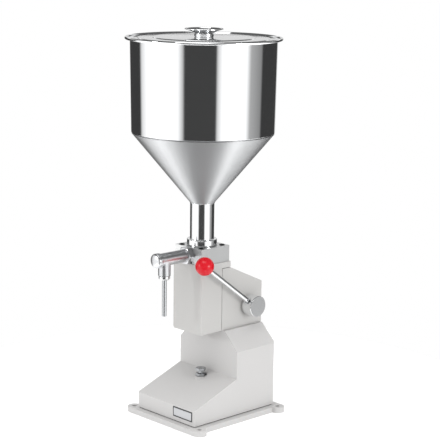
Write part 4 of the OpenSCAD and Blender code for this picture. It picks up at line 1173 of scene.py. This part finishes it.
@dataclass
class Studio:
    """Pale floor, soft lights and the camera at the photograph's viewpoint."""

    azimuth: float = 46.373
    pitch: float = 11.2828
    roll: float = 0.7199
    distance: float = 2633.626
    focal_px: float = 1433.1397
    frame_px: float = 440.0
    aim: tuple[float, float, float] = (0.0, AXIS_Y, 360.0)
    aim_px: tuple[float, float] = (202.1059, 225.5226)
    sensor: float = 36.0
    clip: tuple[float, float] = (0.05, 50.0)
    floor_r: float = 0.6
    floor_steps: int = 128
    target_z: float = 0.30
    ambient: float = 1.15
    # Upward part of a direction, and the share of the ceiling or its brightness from there on
    horizon: Pairs = ((0.0, 0.0), (0.08, 0.0), (0.2, 1.0))
    ceiling: Pairs = ((0.0, 1.3), (0.2, 1.2), (0.3, 0.13), (0.8, 0.13), (1.0, 0.2))
    ceiling_tilt: float = 0.12
    # Downward part of a direction and the share of the table's rim, and its brightness round the horizon
    below: Pairs = ((0.0, 0.0), (0.40, 0.0), (0.55, 1.0))
    table: Pairs = (
        (-180, 1.6), (-130, 2.4), (-85, 5.2), (-55, 4.6), (-36, 0.03), (36, 0.03), (55, 4.6), (85, 4.8), (130, 2.4),
        (180, 1.6),
    )
    floor_colour: str = "#fbfbfb"
    # Name, degrees round from the camera, then height, distance and side in metres, and watts
    softboxes: tuple[tuple[str, float, float, float, float, float], ...] = (
        ("softbox_left", -70, 0.75, 2.0, 0.35, 8), ("softbox_right", 53, 0.60, 2.0, 0.5, 12),
        ("softbox_top", -20, 2.4, 0.7, 1.4, 22),
    )
    # Place round the horizon, counted from the camera, and brightness of each reflected panel
    panels: Pairs = (
        (-180, 0.75), (-169, 0.75), (-165, 0.05), (-118, 0.05), (-112, 0.9), (-100, 1.3), (-40, 1.3), (-32, 0.6),
        (-29, 0.06), (20, 0.06), (23, 0.8), (30, 1.3), (72, 1.3), (80, 0.5), (102, 0.3), (106, 0.05), (160, 0.05),
        (166, 0.75), (180, 0.75),
    )

    def facing(self) -> float:
        """Give the camera's place round the machine in radians."""
        return math.atan2(-math.cos(math.radians(self.azimuth)), math.sin(math.radians(self.azimuth)))

    def axes(self) -> Matrix:
        """Work out how the camera stands.

        Returns:
            Its right, up and back directions as columns.
        """
        a, e, r = (math.radians(v) for v in (self.azimuth, self.pitch, self.roll))
        back = Vector((math.sin(a) * math.cos(e), -math.cos(a) * math.cos(e), math.sin(e)))
        right = Vector((math.cos(a), math.sin(a), 0.0))
        up = back.cross(right)
        turned = (right * math.cos(r) + up * math.sin(r), up * math.cos(r) - right * math.sin(r), back)
        return Matrix(turned).transposed()

    def camera(self) -> None:
        """Place the camera that sees the object as the photograph does."""
        data = bpy.data.cameras.new("photo_camera")
        data.sensor_width = self.sensor
        data.lens = self.focal_px * self.sensor / self.frame_px
        data.clip_start, data.clip_end = self.clip
        axes = self.axes()
        middle = self.frame_px / 2
        shift_x = (self.aim_px[0] - middle) / self.focal_px * self.distance
        shift_y = -(self.aim_px[1] - middle) / self.focal_px * self.distance
        place = Vector(self.aim) + axes @ Vector((-shift_x, -shift_y, self.distance))
        camera = bpy.data.objects.new("photo_camera", data)
        camera.matrix_world = Matrix.Translation(place * MM) @ axes.to_4x4()
        bpy.context.scene.collection.objects.link(camera)
        bpy.context.scene.camera = camera

    def world(self) -> None:
        """Light the object from a white room with dark panels that only reflections see."""
        world = bpy.data.worlds.new("studio")
        world.use_nodes = True
        bpy.context.scene.world = world
        tree = world.node_tree
        tree.nodes.clear()
        where = add(tree, "ShaderNodeTexCoord").outputs["Generated"]
        split = add(tree, "ShaderNodeSeparateXYZ", Vector=where)
        angle = add(tree, "ShaderNodeMath", {"operation": "ARCTAN2"}, i0=split.outputs["Y"], i1=split.outputs["X"])
        counted = add(tree, "ShaderNodeMath", {"operation": "SUBTRACT"}, i0=angle.outputs["Value"], i1=self.facing())
        wrapped = add(
            tree, "ShaderNodeMath", {"operation": "WRAP"}, i0=counted.outputs["Value"], i1=math.pi, i2=-math.pi
        )
        share = add(tree, "ShaderNodeMapRange", Value=wrapped.outputs["Value"], i1=-math.pi, i2=math.pi, i3=0.0, i4=1.0)
        placed = share.outputs["Result"]
        bands, rim = (
            add(tree, "ShaderNodeValToRGB", {"stops": [((at + 180) / 360, grey) for at, grey in stops]}, Fac=placed)
            for stops in (self.panels, self.table)
        )
        turn = math.radians(self.azimuth)
        tilted = (self.ceiling_tilt * math.sin(turn), -self.ceiling_tilt * math.cos(turn), 1.0)
        rise = add(tree, "ShaderNodeVectorMath", {"operation": "DOT_PRODUCT"}, i0=where, i1=tilted).outputs["Value"]
        fall = add(tree, "ShaderNodeMath", {"operation": "MULTIPLY"}, i0=split.outputs["Z"], i1=-1.0).outputs["Value"]
        height = add(tree, "ShaderNodeValToRGB", {"stops": self.horizon}, Fac=rise)
        over = add(tree, "ShaderNodeValToRGB", {"stops": self.ceiling}, Fac=rise)
        depth = add(tree, "ShaderNodeValToRGB", {"stops": self.below}, Fac=fall)
        mix = {"data_type": "RGBA"}
        near, far = bands.outputs["Color"], rim.outputs["Color"]
        low = add(tree, "ShaderNodeMix", mix, i0=depth.outputs["Color"], i6=near, i7=far)
        reflected = add(
            tree, "ShaderNodeMix", mix, i0=height.outputs["Color"], i6=low.outputs[2], i7=over.outputs["Color"]
        )
        path = add(tree, "ShaderNodeLightPath")
        plain = add(tree, "ShaderNodeBackground", Color=(1.0, 1.0, 1.005, 1), Strength=self.ambient)
        mirror = add(tree, "ShaderNodeBackground", Color=reflected.outputs[2], Strength=1.0)
        white = add(tree, "ShaderNodeBackground", Color=(1, 1, 1, 1), Strength=1.0)
        glossy, camera = path.outputs["Is Glossy Ray"], path.outputs["Is Camera Ray"]
        seen = add(
            tree, "ShaderNodeMixShader", Fac=glossy, i1=plain.outputs["Background"], i2=mirror.outputs["Background"]
        )
        both = add(tree, "ShaderNodeMixShader", Fac=camera, i1=seen.outputs["Shader"], i2=white.outputs["Background"])
        add(tree, "ShaderNodeOutputWorld", Surface=both.outputs["Shader"])

    def softbox(self, name: str, around: float, rise: float, away: float, size: float, power: float) -> None:
        """Add a square softbox aimed at the machine.

        Args:
            name: Name of the light.
            around: Degrees to the right of the camera, round the machine.
            rise: Height over the floor in metres.
            away: Distance from the machine in metres.
            size: Side of the square in metres.
            power: Power in watts.
        """
        data = bpy.data.lights.new(name, "AREA")
        data.shape = "SQUARE"
        data.size = size
        data.energy = power
        angle = self.facing() + math.radians(around)
        place = Vector((math.cos(angle) * away, math.sin(angle) * away, rise))
        light = bpy.data.objects.new(name, data)
        target = Vector((0, 0, self.target_z))
        light.matrix_world = Matrix.Translation(place) @ (place - target).to_track_quat("Z", "Y").to_matrix().to_4x4()
        bpy.context.scene.collection.objects.link(light)

    def floor(self) -> None:
        """Lay the pale floor."""
        bm = bmesh.new()
        bmesh.ops.create_circle(bm, cap_ends=True, segments=self.floor_steps, radius=self.floor_r)
        material, tree, place = blank("pale_floor")
        grain = add(tree, "ShaderNodeTexNoise", Vector=place, Scale=40.0)
        rough = add(tree, "ShaderNodeMapRange", Value=grain.outputs["Fac"], i3=0.8, i4=0.9)
        close(tree, Base_Color=to_linear(self.floor_colour), Roughness=rough.outputs["Result"])
        piece("floor", bm, material)

    def build(self) -> None:
        """Set the camera, the world, the lights and the floor."""
        scene = bpy.context.scene
        scene.view_settings.view_transform = "Standard"
        self.camera()
        self.world()
        for box in self.softboxes:
            self.softbox(*box)
        self.floor()


def main() -> None:
    """Build the studio and every sub-assembly."""
    logging.basicConfig(level=logging.INFO, format="%(name)s: %(message)s")
    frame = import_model()
    shop = Workshop(frame, Finishes(Palette()))
    Studio().build()
    parts = (
        Hopper(), Lid(), ValveBlock(), Outlet(), Housings(), Base(), StrokeScrew(), Lever(), Springs(), Innards(),
    )
    for part in parts:
        LOG.info("building %s", type(part).__name__)
        part.build(shop)
    LOG.info("%d pieces made", len(shop.pieces))


if __name__ == "__main__":
    main()
